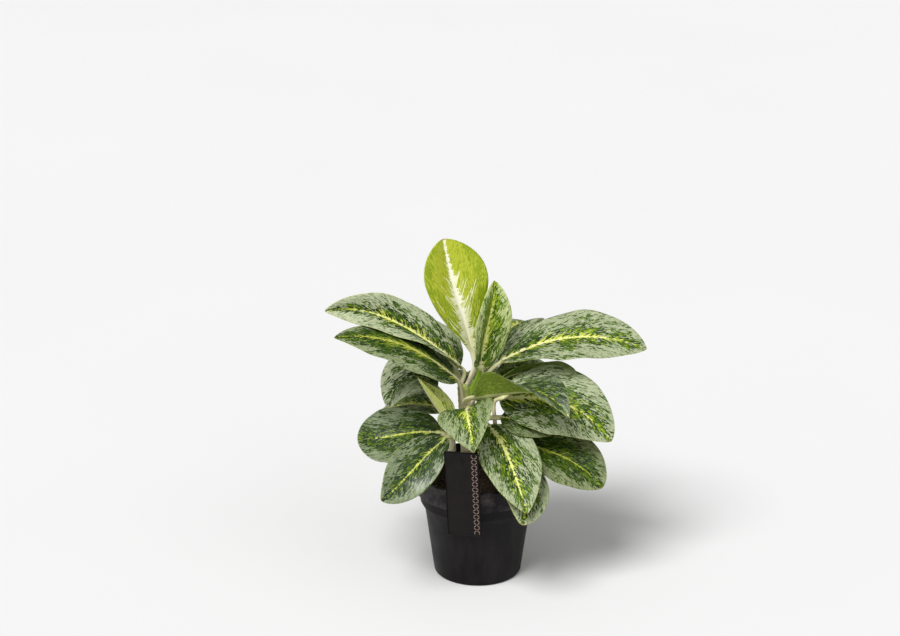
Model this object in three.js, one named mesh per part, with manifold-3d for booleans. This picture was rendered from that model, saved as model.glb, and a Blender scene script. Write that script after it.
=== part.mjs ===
// Potted chinese evergreen: a bushy foliage plant of three short canes and twenty-four leaves,
// in a round nursery pot with a plain hang label hooked over its rim.
// Millimetres, +Z up. The origin is the middle of the pot's flat base. The label is at the front, -Y.

import * as THREE from 'three';
import { mergeVertices } from 'three/addons/utils/BufferGeometryUtils.js';
import Module from 'manifold-3d';

const wasm = await Module();
wasm.setup();

// ---------------------------------------------------------------- driving dimensions

const GAP = 0.3; // clearance between pieces that rest on each other
const TINY = 1e-3;
const SEED = 41; // seed of the soil's unevenness

const POT = {
  height: 106,
  rimRadius: 62, // outside of the rolled lip
  lipHeight: 3,
  lipProud: 1.2, // how far the lip stands out of the collar
  lipRound: 0.7, // the lip's rounding
  collarHeight: 22, // from the top of the rim to the step
  collarTaper: 1,
  stepIn: 4, // how far the body stands back under the collar
  stepDrop: 0.6, // how steeply the step runs in
  draft: 0.6, // taper of the straight stretch between the step and the shoulder
  shoulderTop: 74, // a second, sloping step where stacked pots nest
  shoulderBottom: 66,
  shoulderIn: 4.5,
  baseRadius: 42,
  footBevel: 1.5,
  wall: 1.4,
  floor: 2,
  drainHoles: 8,
  drainRadius: 4.5,
  drainCircle: 29,
  drainSides: 12,
  sides: 40,
};

const SOIL = {
  level: 95, // at the wall
  mound: 4, // how much higher it lies round the canes
  rings: 5,
  bump: 0.65, // height of each of the waves that its unevenness is the sum of
  bumpAtWall: 0.4, // share of the bumps' height left at the wall
  waves: 5,
  longWave: 0.09, // radians per millimetre of the longest wave
  waveSpread: 0.13,
};

const CANE_SIDES = 12;
const CANE_BURIED = 24; // how deep a cane stands in its hole
const CANE_HEAD = [[1, -1], [0.6, 0.2], [0, 0.5]]; // its rounded head, in head radii

// foot and head are the two ends of the part of the cane above the soil
const CANES = {
  main: { node: 'cane_main', foot: [-8, 7, 95], head: [-14, 3, 188], radius: 7.5, headRadius: 6 },
  left: { node: 'cane_left', foot: [-25, -9, 95], head: [-26, -13, 150], radius: 5.5, headRadius: 4.4 },
  right: { node: 'cane_right', foot: [17, -8, 95], head: [14, -11, 152], radius: 5.5, headRadius: 4.4 },
};

const BLADE_HALF_THICKNESS = 0.42; // at the edge of a blade
const RIB_HALF_THICKNESS = 1.7; // in the middle of a blade, next to the petiole
const PETIOLE_HALF_WIDTH = 2.6;
const SHEATH_HALF_WIDTH = 3.8; // where the petiole clasps its cane
const SHEATH_HALF_THICKNESS = 2;
const TIP_HALF_WIDTH = 0.5;
const BASE_ROUNDNESS = 0.62; // exponent of the blade's outline next to the petiole
const ROOT_DEPTH = 0.5; // share of the cane's radius at which a petiole's middle starts
const PETIOLE_LEAVING = 0.55; // how far outwards a petiole leaves for each millimetre upwards
const PETIOLE_EASE = 0.35; // share of its length to each of its curve's control points
const PETIOLE_STATIONS = 4;
const BLADE_STATIONS = 12;
const ACROSS = [-1, -0.5, 0, 0.5, 1]; // places across a blade, from edge to edge
const STATION_CROWDING = 1.15; // above 1 the stations lie closer next to the neck
const OPENING = 0.12; // share of the blade's length in which it opens out of the petiole
const CROWN = 0.5; // how much each half of a blade arches between the midrib and its edge
const RIB_TAPER = 0.7;
const RIB_SHARPNESS = 3;
const RIB_BELOW = 0.6; // share of the midrib's swelling that lies under the blade

// One row for each leaf, as measured on the plant:
// neck, where the blade begins; tip; arch, the rise of the midrib's two control points above the
// straight line from neck to tip; bow, the same to the side; roll, in degrees about the midrib, at the
// neck and at the tip; width and widest, the blade's full width and where along it that lies; fold, the
// angle at which each half rises from the midrib; root, the height at which the petiole leaves its cane;
// wave, the height of the ripple of the edges, and ripples, how many there are; base, where given, takes
// the place of BASE_ROUNDNESS: above 1 the blade widens slowly from the petiole.
const LEAVES = [
  { name: 'leaf_top_upright', cane: 'main', root: 185, neck: [-3.5, 13, 211], tip: [-33, 33.5, 324],
    arch: [13, -4], bow: [-7.5, -4], roll: [33, 29], width: 70, widest: 0.67, fold: [22, 10],
    wave: 0.8, ripples: 2, base: 1.3, colour: 'new' },
  { name: 'leaf_top_folded', cane: 'main', root: 177, neck: [1, 2, 204], tip: [15, 24, 286],
    arch: [5, -1], bow: [-3, 5], roll: [-75, -54], width: 50, widest: 0.44, fold: [31, 10],
    wave: 0.8, ripples: 2, colour: 'new' },
  { name: 'leaf_upper_left', cane: 'main', root: 181, neck: [-15, 4, 205], tip: [-143, -5, 265.5],
    arch: [18, 29], bow: [1, 4], roll: [-10, 64], width: 46, widest: 0.45, fold: [14, 50],
    wave: 1.2, ripples: 3, colour: 'top' },
  { name: 'leaf_upper_left_lower', cane: 'main', root: 171, neck: [-20, -8, 198], tip: [-133, -38, 251.4],
    arch: [27, 20], bow: [-12, 0], roll: [22, 22], width: 60, widest: 0.41, fold: [-4, -8],
    wave: 1.2, ripples: 3, colour: 'top' },
  { name: 'leaf_upper_right', cane: 'main', root: 166, neck: [21, 9, 209.5], tip: [158, 2, 225.5],
    arch: [19, 24], bow: [-17, 0], roll: [-5, -37], width: 66, widest: 0.45, fold: [9, 3],
    wave: 1.2, ripples: 3, colour: 'top' },
  { name: 'leaf_front_folded', cane: 'main', root: 158, neck: [-4, -27, 188], tip: [82, -76, 187],
    arch: [6, 27], bow: [-11, -17], roll: [56, -24], width: 68, widest: 0.37, fold: [24, 20],
    wave: 1, ripples: 2, colour: 'top' },
  { name: 'leaf_right_wide', cane: 'right', root: 146, neck: [20, -1, 177], tip: [124, -37, 148],
    arch: [16, 34], bow: [1, -2], roll: [-38, -39], width: 70, widest: 0.48, fold: [12, -1],
    wave: 1.2, ripples: 3, colour: 'top' },
  { name: 'leaf_front_right', cane: 'right', root: 138, neck: [9, -25, 159], tip: [44, -97, 102],
    arch: [8, 7], bow: [-7, -1], roll: [-1, -10], width: 59, widest: 0.43, fold: [10, 7],
    wave: 1, ripples: 3, colour: 'top' },
  { name: 'leaf_front_right_lower', cane: 'right', root: 118, neck: [21, -18, 131], tip: [39, -92, 88],
    arch: [2, 9], bow: [-3, -18], roll: [22, 4], width: 54, widest: 0.49, fold: [11, 14],
    wave: 1, ripples: 2, colour: 'top' },
  { name: 'leaf_right_low', cane: 'right', root: 124, neck: [34, -7, 138], tip: [116, -45, 104],
    arch: [4, 20], bow: [2, -1], roll: [-1, -42], width: 62, widest: 0.5, fold: [12, 2],
    wave: 1, ripples: 3, colour: 'top' },
  { name: 'leaf_right_under', cane: 'main', root: 149, neck: [17, 9, 191], tip: [94, 34, 190],
    arch: [10, 10], bow: [0, 0], roll: [30, 40], width: 36, widest: 0.46, fold: [8, 8],
    wave: 1, ripples: 2, colour: 'top' },
  { name: 'leaf_middle_dark', cane: 'main', root: 144, neck: [21, -15, 163], tip: [70, -32, 154],
    arch: [5, 5], bow: [0, 0], roll: [-26, -30], width: 38, widest: 0.46, fold: [8, 4],
    wave: 0.6, ripples: 2, colour: 'top' },
  { name: 'leaf_left_wide', cane: 'left', root: 134, neck: [-34, -14, 146], tip: [-114, -21, 144],
    arch: [8, -5], bow: [2, 2], roll: [28, 29], width: 64, widest: 0.54, fold: [-3, 7],
    wave: 1, ripples: 3, colour: 'top' },
  { name: 'leaf_front_left', cane: 'left', root: 115, neck: [-29, -28, 148], tip: [-90, -84, 109],
    arch: [2, -4], bow: [4, -1], roll: [3, 60], width: 48, widest: 0.47, fold: [13, 14],
    wave: 1, ripples: 3, colour: 'top' },
  { name: 'leaf_front_saddle', cane: 'main', root: 133, neck: [-10, -26, 177], tip: [-5, -85, 157],
    arch: [12, 16], bow: [4, 2], roll: [-14, -24], width: 57, widest: 0.4, fold: [16, 12],
    wave: 1, ripples: 2, colour: 'top' },
  { name: 'leaf_left_behind', cane: 'left', root: 135, neck: [-39, 20, 179], tip: [-86, 21, 158],
    arch: [20, 32], bow: [0, 2], roll: [22, 44], width: 66, widest: 0.48, fold: [32, 13],
    wave: 1, ripples: 2, colour: 'top' },
  { name: 'leaf_left_young', cane: 'left', root: 140, neck: [-26, -15, 155], tip: [-57, -6, 200],
    arch: [-2, -3], bow: [-1, -2], roll: [16, 6], width: 32, widest: 0.38, fold: [60, 36],
    wave: 0.4, ripples: 2, colour: 'new' },
  { name: 'leaf_back_right', cane: 'main', root: 159, neck: [4, 28, 195], tip: [61, 122, 205],
    arch: [26, 28], bow: [0, 0], roll: [6, 12], width: 60, widest: 0.44, fold: [12, 12],
    wave: 1.2, ripples: 3, colour: 'top' },
  { name: 'leaf_back_left', cane: 'main', root: 163, neck: [-21, 19, 197], tip: [-86, 100, 212],
    arch: [24, 24], bow: [0, 0], roll: [-6, -14], width: 58, widest: 0.44, fold: [12, 12],
    wave: 1.2, ripples: 3, colour: 'top' },
  { name: 'leaf_back_middle', cane: 'main', root: 147, neck: [-4, 30, 176], tip: [-14, 122, 142],
    arch: [16, 24], bow: [0, 0], roll: [4, -4], width: 60, widest: 0.46, fold: [10, 10],
    wave: 1.2, ripples: 3, colour: 'top' },
  { name: 'leaf_side_right', cane: 'main', root: 138, neck: [17, 18, 178], tip: [98, 70, 158],
    arch: [16, 24], bow: [0, 2], roll: [-8, -14], width: 60, widest: 0.46, fold: [10, 8],
    wave: 1.2, ripples: 3, colour: 'top' },
  { name: 'leaf_side_left', cane: 'main', root: 140, neck: [-30, 20, 156], tip: [-103, 66, 126],
    arch: [12, 20], bow: [0, 0], roll: [8, 12], width: 58, widest: 0.46, fold: [10, 10],
    wave: 1, ripples: 3, colour: 'top' },
  { name: 'leaf_low_back_right', cane: 'right', root: 110, neck: [34, 8, 130], tip: [92, 62, 92],
    arch: [8, 18], bow: [0, 0], roll: [-6, -10], width: 54, widest: 0.46, fold: [10, 8],
    wave: 1, ripples: 2, colour: 'top' },
  { name: 'leaf_low_back_left', cane: 'main', root: 116, neck: [-14, 30, 128], tip: [-42, 98, 94],
    arch: [8, 16], bow: [0, 0], roll: [4, 6], width: 54, widest: 0.46, fold: [10, 10],
    wave: 1, ripples: 2, colour: 'top' },
];

const LABEL = {
  width: 32,
  height: 97,
  thickness: 0.8,
  corner: 1.2,
  middle: [-14.5, -66.3, 107.5], // the middle of the card's back
  yaw: 10, // degrees: its right edge is turned towards the front
  lean: 14, // degrees: its top leans towards the front
  slotWidth: 2,
  slotLength: 6,
  slotBelowTop: 8,
  hookWidth: 9,
  hookReach: 10.5, // from the card's back to the hook's leg
  hookDrop: 8, // how far the leg reaches down inside the rim
};

const COLOURS = {
  pot: { color: 0x2b2b2d, roughness: 0.62, metalness: 0 },
  soil: { color: 0x2e2018, roughness: 0.97, metalness: 0 },
  label: { color: 0x1d191b, roughness: 0.5, metalness: 0 },
  cane: { color: 0xd9d3b4, roughness: 0.55, metalness: 0 },
  top: { color: 0x5f8158, roughness: 0.42, metalness: 0 },
  new: { color: 0x8aa83a, roughness: 0.4, metalness: 0 },
};

// ---------------------------------------------------------------- helpers

const UP = new THREE.Vector3(0, 0, 1);
const vec = (p) => new THREE.Vector3(...p);
const radians = THREE.MathUtils.degToRad;

// A closed geometry as a solid that can be joined and cut.
function toSolid(geometry) {
  const bare = geometry.clone();
  bare.deleteAttribute('normal');
  bare.deleteAttribute('uv');
  const merged = mergeVertices(bare, TINY / 10);
  return new wasm.Manifold(new wasm.Mesh({
    numProp: 3,
    vertProperties: Float32Array.from(merged.attributes.position.array),
    triVerts: Uint32Array.from(merged.index.array),
  }));
}

function toGeometry(solid) {
  const mesh = solid.getMesh();
  const geometry = new THREE.BufferGeometry();
  geometry.setAttribute('position', new THREE.BufferAttribute(mesh.vertProperties, 3));
  geometry.setIndex(new THREE.BufferAttribute(mesh.triVerts, 1));
  return geometry;
}

function makePiece(name, geometry, colour) {
  const mesh = new THREE.Mesh(geometry, new THREE.MeshStandardMaterial(COLOURS[colour]));
  mesh.name = name;
  return mesh;
}

// A profile of [radius, height] turned about the Z axis.
function turned(profile, sides) {
  const points = profile.map(([radius, height]) => new THREE.Vector2(radius, height));
  return new THREE.LatheGeometry(points, sides).rotateX(Math.PI / 2);
}

// ---------------------------------------------------------------- pot

// The pot's radii and heights where its outside turns, from the collar down.
function potLevels() {
  const collarBottom = POT.height - POT.collarHeight;
  const collarRadius = POT.rimRadius - POT.lipProud;
  const stepRadius = collarRadius - POT.collarTaper - POT.stepIn;
  return {
    collar: [collarRadius, POT.height],
    collarFoot: [collarRadius - POT.collarTaper, collarBottom + POT.stepDrop],
    step: [stepRadius, collarBottom],
    shoulder: [stepRadius - POT.draft, POT.shoulderTop],
    shoulderFoot: [stepRadius - POT.draft - POT.shoulderIn, POT.shoulderBottom],
  };
}

// The pot's outside, from the base up.
function potOutline() {
  const level = potLevels();
  const lipBottom = POT.height - POT.lipHeight;
  const { rimRadius, lipRound } = POT;
  return [
    [POT.baseRadius - POT.footBevel, 0],
    [POT.baseRadius, POT.footBevel],
    level.shoulderFoot,
    level.shoulder,
    level.step,
    level.collarFoot,
    [level.collar[0], lipBottom],
    [rimRadius - lipRound / 2, lipBottom],
    [rimRadius, lipBottom + lipRound],
    [rimRadius, POT.height - lipRound],
    [rimRadius - lipRound, POT.height],
  ];
}

// The pot's inside, a wall's thickness in from its outside, from the floor up.
function potInside() {
  const { wall, stepDrop } = POT;
  const level = potLevels();
  const inwards = ([radius, height], lift) => [radius - wall, height + lift];
  return [
    [POT.baseRadius - wall, POT.floor],
    inwards(level.shoulderFoot, stepDrop),
    inwards(level.shoulder, stepDrop),
    inwards(level.step, wall),
    inwards(level.collarFoot, wall),
    inwards(level.collar, 0),
  ];
}

function makePot() {
  const profile = [[0, 0], ...potOutline(), ...potInside().reverse(), [0, POT.floor]];
  let pot = toSolid(turned(profile, POT.sides));
  for (let i = 0; i < POT.drainHoles; i += 1) {
    const angle = ((i + 0.5) / POT.drainHoles) * 2 * Math.PI;
    const hole = new THREE.CylinderGeometry(
      POT.drainRadius, POT.drainRadius, 4 * POT.floor, POT.drainSides,
    );
    hole.rotateX(Math.PI / 2);
    hole.translate(POT.drainCircle * Math.cos(angle), POT.drainCircle * Math.sin(angle), POT.floor / 2);
    pot = pot.subtract(toSolid(hole));
  }
  return makePiece('pot', toGeometry(pot), 'pot');
}

// ---------------------------------------------------------------- canes

const caneFoot = (cane) => vec(cane.foot);
const caneAxis = (cane) => vec(cane.head).sub(vec(cane.foot)).normalize();

// A point on the cane's axis at the given height.
function caneAt(cane, height) {
  const axis = caneAxis(cane);
  return caneFoot(cane).addScaledVector(axis, (height - cane.foot[2]) / axis.z);
}

function caneRadiusAt(cane, height) {
  const share = THREE.MathUtils.clamp((height - cane.foot[2]) / (cane.head[2] - cane.foot[2]), 0, 1);
  return THREE.MathUtils.lerp(cane.radius, cane.headRadius, share);
}

// A cane, or with grow its hole: a tapering rod with a rounded head, standing CANE_BURIED deep.
function caneSolid(cane, grow = 0) {
  const length = vec(cane.head).distanceTo(vec(cane.foot));
  const head = CANE_HEAD.map(([out, along]) => [
    out * cane.headRadius + (out > 0 ? grow : 0),
    length + along * cane.headRadius + grow,
  ]);
  const profile = [
    [0, -CANE_BURIED - grow],
    [cane.radius + grow, -CANE_BURIED - grow],
    [cane.radius + grow, 0],
    ...head,
  ];
  const geometry = turned(profile, CANE_SIDES);
  geometry.applyQuaternion(new THREE.Quaternion().setFromUnitVectors(UP, caneAxis(cane)));
  geometry.translate(...cane.foot);
  return toSolid(geometry);
}

function makeCane(cane) {
  return makePiece(cane.node, toGeometry(caneSolid(cane)), 'cane');
}

// ---------------------------------------------------------------- soil

// The waves that the soil's unevenness is the sum of, each with its own direction, pitch and phase.
function drawSoilWaves() {
  const random = THREE.MathUtils.seededRandom;
  random(SEED);
  return Array.from({ length: SOIL.waves }, () => ({
    turn: 2 * Math.PI * random(),
    pitch: SOIL.longWave + SOIL.waveSpread * random(),
    phase: 2 * Math.PI * random(),
  }));
}

// The height of the soil's surface: a low mound, flatter and more even at the wall.
function soilHeight(x, y, edgeRadius, waves) {
  const share = Math.min(Math.hypot(x, y) / edgeRadius, 1);
  const bump = waves.reduce((sum, { turn, pitch, phase }) => (
    sum + Math.sin((x * Math.cos(turn) + y * Math.sin(turn)) * pitch + phase)), 0);
  const evenness = THREE.MathUtils.lerp(1, SOIL.bumpAtWall, share);
  return SOIL.level + SOIL.mound * (1 - share ** 2) + SOIL.bump * bump * evenness;
}

function makeSoil() {
  const inside = potInside();
  const wall = inside.slice(0, -1).map(([radius, height]) => [radius - GAP, height + GAP]);
  const [lowerRadius, lowerHeight] = inside[inside.length - 2];
  const [upperRadius, upperHeight] = inside[inside.length - 1];
  const rise = (SOIL.level - lowerHeight) / (upperHeight - lowerHeight);
  const topRadius = THREE.MathUtils.lerp(lowerRadius, upperRadius, rise) - GAP;
  const profile = [[0, POT.floor + GAP], ...wall, [topRadius, SOIL.level]];
  for (let i = 1; i < SOIL.rings; i += 1) {
    profile.push([topRadius * (1 - i / SOIL.rings), SOIL.level]);
  }
  profile.push([0, SOIL.level]);
  const geometry = turned(profile, POT.sides);
  const position = geometry.attributes.position;
  const waves = drawSoilWaves();
  for (let i = 0; i < position.count; i += 1) {
    const [x, y] = [position.getX(i), position.getY(i)];
    const onTop = Math.abs(position.getZ(i) - SOIL.level) < TINY;
    if (onTop && Math.hypot(x, y) < topRadius - TINY) {
      position.setZ(i, soilHeight(x, y, topRadius, waves));
    }
  }
  let soil = toSolid(geometry);
  for (const cane of Object.values(CANES)) {
    soil = soil.subtract(caneSolid(cane, GAP));
  }
  return makePiece('soil', toGeometry(soil), 'soil');
}

// ---------------------------------------------------------------- leaves

// A frame that rides along a leaf: its place, its forward, side and upper directions.
function frameOn(curve, share, level, roll) {
  const forward = curve.getTangent(share);
  const side = level.clone().addScaledVector(forward, -level.dot(forward)).normalize();
  side.applyAxisAngle(forward, -roll);
  const upper = new THREE.Vector3().crossVectors(side, forward);
  return { place: curve.getPoint(share), side, upper };
}

function midribCurve(leaf) {
  const neck = vec(leaf.neck);
  const tip = vec(leaf.tip);
  const level = new THREE.Vector3().subVectors(tip, neck).cross(UP).normalize();
  const control = (index) => new THREE.Vector3()
    .lerpVectors(neck, tip, (index + 1) / 3)
    .addScaledVector(UP, leaf.arch[index])
    .addScaledVector(level, leaf.bow[index]);
  return { curve: new THREE.CubicBezierCurve3(neck, control(0), control(1), tip), level };
}

// The petiole leaves its cane upwards and outwards and runs smoothly into the midrib.
function petioleCurve(leaf, cane, midrib) {
  const neck = vec(leaf.neck);
  const onAxis = caneAt(cane, leaf.root);
  const outward = neck.clone().sub(onAxis).setZ(0).normalize();
  const root = onAxis.clone().addScaledVector(outward, ROOT_DEPTH * caneRadiusAt(cane, leaf.root));
  const length = root.distanceTo(neck);
  const leaving = outward.clone().multiplyScalar(PETIOLE_LEAVING).add(UP).normalize();
  const first = root.clone().addScaledVector(leaving, PETIOLE_EASE * length);
  const second = neck.clone().addScaledVector(midrib.getTangent(0), -PETIOLE_EASE * length);
  return new THREE.CubicBezierCurve3(root, first, second, neck);
}

// The share of the blade's half width at a share of its length: round at the neck, pointed at the tip.
function outlineAt(share, widest, roundness) {
  const tipPower = (roundness * (1 - widest)) / widest;
  return (share / widest) ** roundness * ((1 - share) / (1 - widest)) ** tipPower;
}

// The rise and fall of a blade's edges, none at the neck and at the tip. Each width starts it elsewhere.
function rippleAt(leaf, share) {
  return leaf.wave * Math.sin(2 * Math.PI * leaf.ripples * share + leaf.width) * Math.sin(Math.PI * share);
}

// The stations of a leaf, from the petiole's root to the tip, each with its frame and its section.
function leafStations(leaf) {
  const cane = CANES[leaf.cane];
  const { curve, level } = midribCurve(leaf);
  const petiole = petioleCurve(leaf, cane, curve);
  const roll = leaf.roll.map(radians);
  const stations = [];
  for (let i = 0; i < PETIOLE_STATIONS; i += 1) {
    const share = i / PETIOLE_STATIONS;
    stations.push({
      ...frameOn(petiole, share, level, roll[0] * share),
      halfWidth: THREE.MathUtils.lerp(SHEATH_HALF_WIDTH, PETIOLE_HALF_WIDTH, share),
      rib: THREE.MathUtils.lerp(SHEATH_HALF_THICKNESS, RIB_HALF_THICKNESS, share),
      round: 1,
      fold: [0, 0],
      ripple: 0,
    });
  }
  for (let i = 0; i <= BLADE_STATIONS; i += 1) {
    const share = (i / BLADE_STATIONS) ** STATION_CROWDING;
    const blade = (leaf.width / 2) * outlineAt(share, leaf.widest, leaf.base ?? BASE_ROUNDNESS);
    const least = THREE.MathUtils.lerp(PETIOLE_HALF_WIDTH, TIP_HALF_WIDTH, share);
    const opening = Math.min(share / OPENING, 1);
    stations.push({
      ...frameOn(curve, share, level, THREE.MathUtils.lerp(roll[0], roll[1], share)),
      halfWidth: Math.max(blade, least),
      rib: THREE.MathUtils.lerp(RIB_HALF_THICKNESS, BLADE_HALF_THICKNESS, share ** RIB_TAPER),
      round: 1 - opening,
      fold: leaf.fold.map((angle) => radians(angle) * opening),
      ripple: rippleAt(leaf, share),
    });
  }
  return stations;
}

// A point of a leaf's section: across runs from -1 to 1, face is 1 on top and -1 below.
function sectionPoint(station, across, face) {
  const { place, side, upper, halfWidth, rib, round, fold, ripple } = station;
  const angle = across < 0 ? fold[0] : fold[1];
  const reach = Math.abs(across);
  const lift = halfWidth * Math.sin(angle) * ((1 + CROWN) * reach - CROWN * reach ** 2);
  const keel = (1 - reach) ** RIB_SHARPNESS;
  const rod = Math.sqrt(1 - reach ** 2);
  const thickness = BLADE_HALF_THICKNESS
    + (rib - BLADE_HALF_THICKNESS) * THREE.MathUtils.lerp(keel, rod, round);
  const sunk = (thickness - BLADE_HALF_THICKNESS) * (1 - round) * RIB_BELOW;
  const lean = -Math.sign(across) * Math.sin(angle) * face * thickness;
  const offset = lift + ripple * reach ** 2 - sunk + Math.cos(angle) * face * thickness;
  return place.clone()
    .addScaledVector(side, across * halfWidth * Math.cos(angle) + lean)
    .addScaledVector(upper, offset);
}

// A leaf's skin: the same grid of triangles on both faces, with its edges and ends closed.
function leafGeometry(stations) {
  const points = [];
  for (const face of [1, -1]) {
    for (const station of stations) {
      for (const across of ACROSS) {
        points.push(...sectionPoint(station, across, face).toArray());
      }
    }
  }
  const columns = ACROSS.length;
  const rows = stations.length;
  const below = rows * columns;
  const at = (face, row, column) => (face * rows + row) * columns + column;
  const triangles = [];
  const quad = (a, b, c, d) => triangles.push(a, b, c, a, c, d);
  for (let row = 0; row < rows - 1; row += 1) {
    for (let column = 0; column < columns - 1; column += 1) {
      const [a, b] = [at(0, row, column), at(0, row, column + 1)];
      const [c, d] = [at(0, row + 1, column + 1), at(0, row + 1, column)];
      quad(a, b, c, d);
      triangles.push(a + below, c + below, b + below, a + below, d + below, c + below);
    }
    const last = columns - 1;
    quad(at(0, row, 0), at(0, row + 1, 0), at(1, row + 1, 0), at(1, row, 0));
    quad(at(0, row, last), at(1, row, last), at(1, row + 1, last), at(0, row + 1, last));
  }
  for (let column = 0; column < columns - 1; column += 1) {
    const end = rows - 1;
    quad(at(0, 0, column), at(1, 0, column), at(1, 0, column + 1), at(0, 0, column + 1));
    quad(at(0, end, column), at(0, end, column + 1), at(1, end, column + 1), at(1, end, column));
  }
  const geometry = new THREE.BufferGeometry();
  geometry.setAttribute('position', new THREE.Float32BufferAttribute(points, 3));
  geometry.setIndex(triangles);
  return geometry;
}

// A leaf, seated against its cane with its petiole's root cut to the cane's round.
function makeLeaf(leaf) {
  const whole = toSolid(leafGeometry(leafStations(leaf)));
  const seated = whole.subtract(caneSolid(CANES[leaf.cane], GAP));
  return makePiece(leaf.name, toGeometry(seated), leaf.colour);
}

// ---------------------------------------------------------------- label

// The card, upright and facing -Y, its back's middle at the origin.
function labelCard() {
  const halfWidth = LABEL.width / 2;
  const halfHeight = LABEL.height / 2;
  const { corner } = LABEL;
  const card = new THREE.Shape();
  card.moveTo(-halfWidth + corner, -halfHeight);
  card.lineTo(halfWidth - corner, -halfHeight);
  card.lineTo(halfWidth, -halfHeight + corner);
  card.lineTo(halfWidth, halfHeight - corner);
  card.lineTo(halfWidth - corner, halfHeight);
  card.lineTo(-halfWidth + corner, halfHeight);
  card.lineTo(-halfWidth, halfHeight - corner);
  card.lineTo(-halfWidth, -halfHeight + corner);
  const slotTop = halfHeight - LABEL.slotBelowTop;
  const slot = new THREE.Path();
  slot.moveTo(-LABEL.slotWidth / 2, slotTop);
  slot.lineTo(-LABEL.slotWidth / 2, slotTop - LABEL.slotLength);
  slot.lineTo(LABEL.slotWidth / 2, slotTop - LABEL.slotLength);
  slot.lineTo(LABEL.slotWidth / 2, slotTop);
  card.holes.push(slot);
  const geometry = new THREE.ExtrudeGeometry(card, { depth: LABEL.thickness, bevelEnabled: false });
  return geometry.rotateX(Math.PI / 2);
}

// The hook behind the card, in the card's own directions but upright: a strip that starts in the card's
// thickness, runs in over the rim and ends in a leg inside it.
function labelHook() {
  const { thickness, hookWidth, hookReach, hookDrop } = LABEL;
  const over = POT.height + GAP - LABEL.middle[2];
  const strip = new THREE.Shape();
  strip.moveTo(-thickness / 2, over);
  strip.lineTo(hookReach, over);
  strip.lineTo(hookReach, over - hookDrop);
  strip.lineTo(hookReach + thickness, over - hookDrop);
  strip.lineTo(hookReach + thickness, over + thickness);
  strip.lineTo(-thickness / 2, over + thickness);
  const geometry = new THREE.ExtrudeGeometry(strip, { depth: hookWidth, bevelEnabled: false });
  geometry.rotateX(Math.PI / 2);
  geometry.rotateZ(Math.PI / 2);
  return geometry.translate(-hookWidth / 2, 0, 0);
}

function makeLabel() {
  const card = labelCard().rotateX(radians(LABEL.lean));
  const label = toSolid(card).add(toSolid(labelHook()));
  const mesh = makePiece('label', toGeometry(label), 'label');
  mesh.rotation.z = -radians(LABEL.yaw);
  mesh.position.set(...LABEL.middle);
  return mesh;
}

// ---------------------------------------------------------------- the plant

const plant = new THREE.Group();
plant.add(makePot(), makeSoil(), makeLabel());
plant.add(...Object.values(CANES).map(makeCane));
plant.add(...LEAVES.map(makeLeaf));

export default plant;
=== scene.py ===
"""The looks of a potted chinese evergreen: mottled leaves on short canes in a round nursery pot.

Sizes are in millimetres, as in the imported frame, and turned into metres where a mesh is written.
"""

import logging
import math
from dataclasses import dataclass, field, replace
from enum import Enum
from typing import Iterable, Sequence

import bpy
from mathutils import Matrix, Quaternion, Vector, noise


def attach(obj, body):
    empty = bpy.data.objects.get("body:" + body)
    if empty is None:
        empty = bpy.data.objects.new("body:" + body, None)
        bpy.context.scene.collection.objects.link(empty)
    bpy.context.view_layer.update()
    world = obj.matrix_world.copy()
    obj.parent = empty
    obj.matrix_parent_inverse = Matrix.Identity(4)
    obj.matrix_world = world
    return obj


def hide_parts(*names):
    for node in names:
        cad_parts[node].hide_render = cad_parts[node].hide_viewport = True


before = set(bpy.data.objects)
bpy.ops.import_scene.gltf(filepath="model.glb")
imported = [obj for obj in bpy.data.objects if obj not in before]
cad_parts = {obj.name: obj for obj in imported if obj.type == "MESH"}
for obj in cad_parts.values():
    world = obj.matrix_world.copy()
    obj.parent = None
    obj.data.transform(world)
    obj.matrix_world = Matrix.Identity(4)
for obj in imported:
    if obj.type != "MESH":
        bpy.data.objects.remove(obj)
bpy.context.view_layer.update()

LOG = logging.getLogger("evergreen")
MM = 0.001
UP = Vector((0.0, 0.0, 1.0))
BODY = "root"
MOST_NOISE = (0.36, 0.64)  # an even noise lies mostly between these

Triple = tuple[float, float, float]
Pair = tuple[float, float]
Socket = bpy.types.NodeSocket


# ---------------------------------------------------------------- small helpers


def lerp(low: float, high: float, share: float) -> float:
    """Return the value that lies at a share of the way from low to high."""
    return low + (high - low) * share


def clamp(value: float, low: float = 0.0, high: float = 1.0) -> float:
    """Return the value, kept between low and high."""
    return max(low, min(high, value))


def smooth(value: float, low: float, high: float) -> float:
    """Return 0 below low, 1 above high, and a soft rise between them."""
    share = clamp((value - low) / (high - low))
    return share * share * (3.0 - 2.0 * share)


def wander(*place: float) -> float:
    """Return an even noise between about -1 and 1 at a place."""
    return noise.noise(Vector(place))


def deselect() -> None:
    """Leave edit mode and deselect every object."""
    if bpy.context.mode != "OBJECT":
        bpy.ops.object.mode_set(mode="OBJECT")
    bpy.ops.object.select_all(action="DESELECT")


def choose(*objects: bpy.types.Object) -> bpy.types.Object:
    """Select these objects alone and make the first one active.

    Args:
        objects: the objects to select.

    Returns:
        The first object.
    """
    deselect()
    for item in objects:
        item.select_set(True)
    bpy.context.view_layer.objects.active = objects[0]
    return objects[0]


def named(name: str) -> bpy.types.Object:
    """Name the object that an operator has just added.

    Args:
        name: its new name.

    Returns:
        The object.
    """
    added = bpy.context.active_object
    added.name = name
    added.data.name = name
    return added


def settle(piece: bpy.types.Object) -> None:
    """Put a piece's place, turn and scale into its mesh."""
    choose(piece)
    bpy.ops.object.transform_apply(location=True, rotation=True, scale=True)


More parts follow.
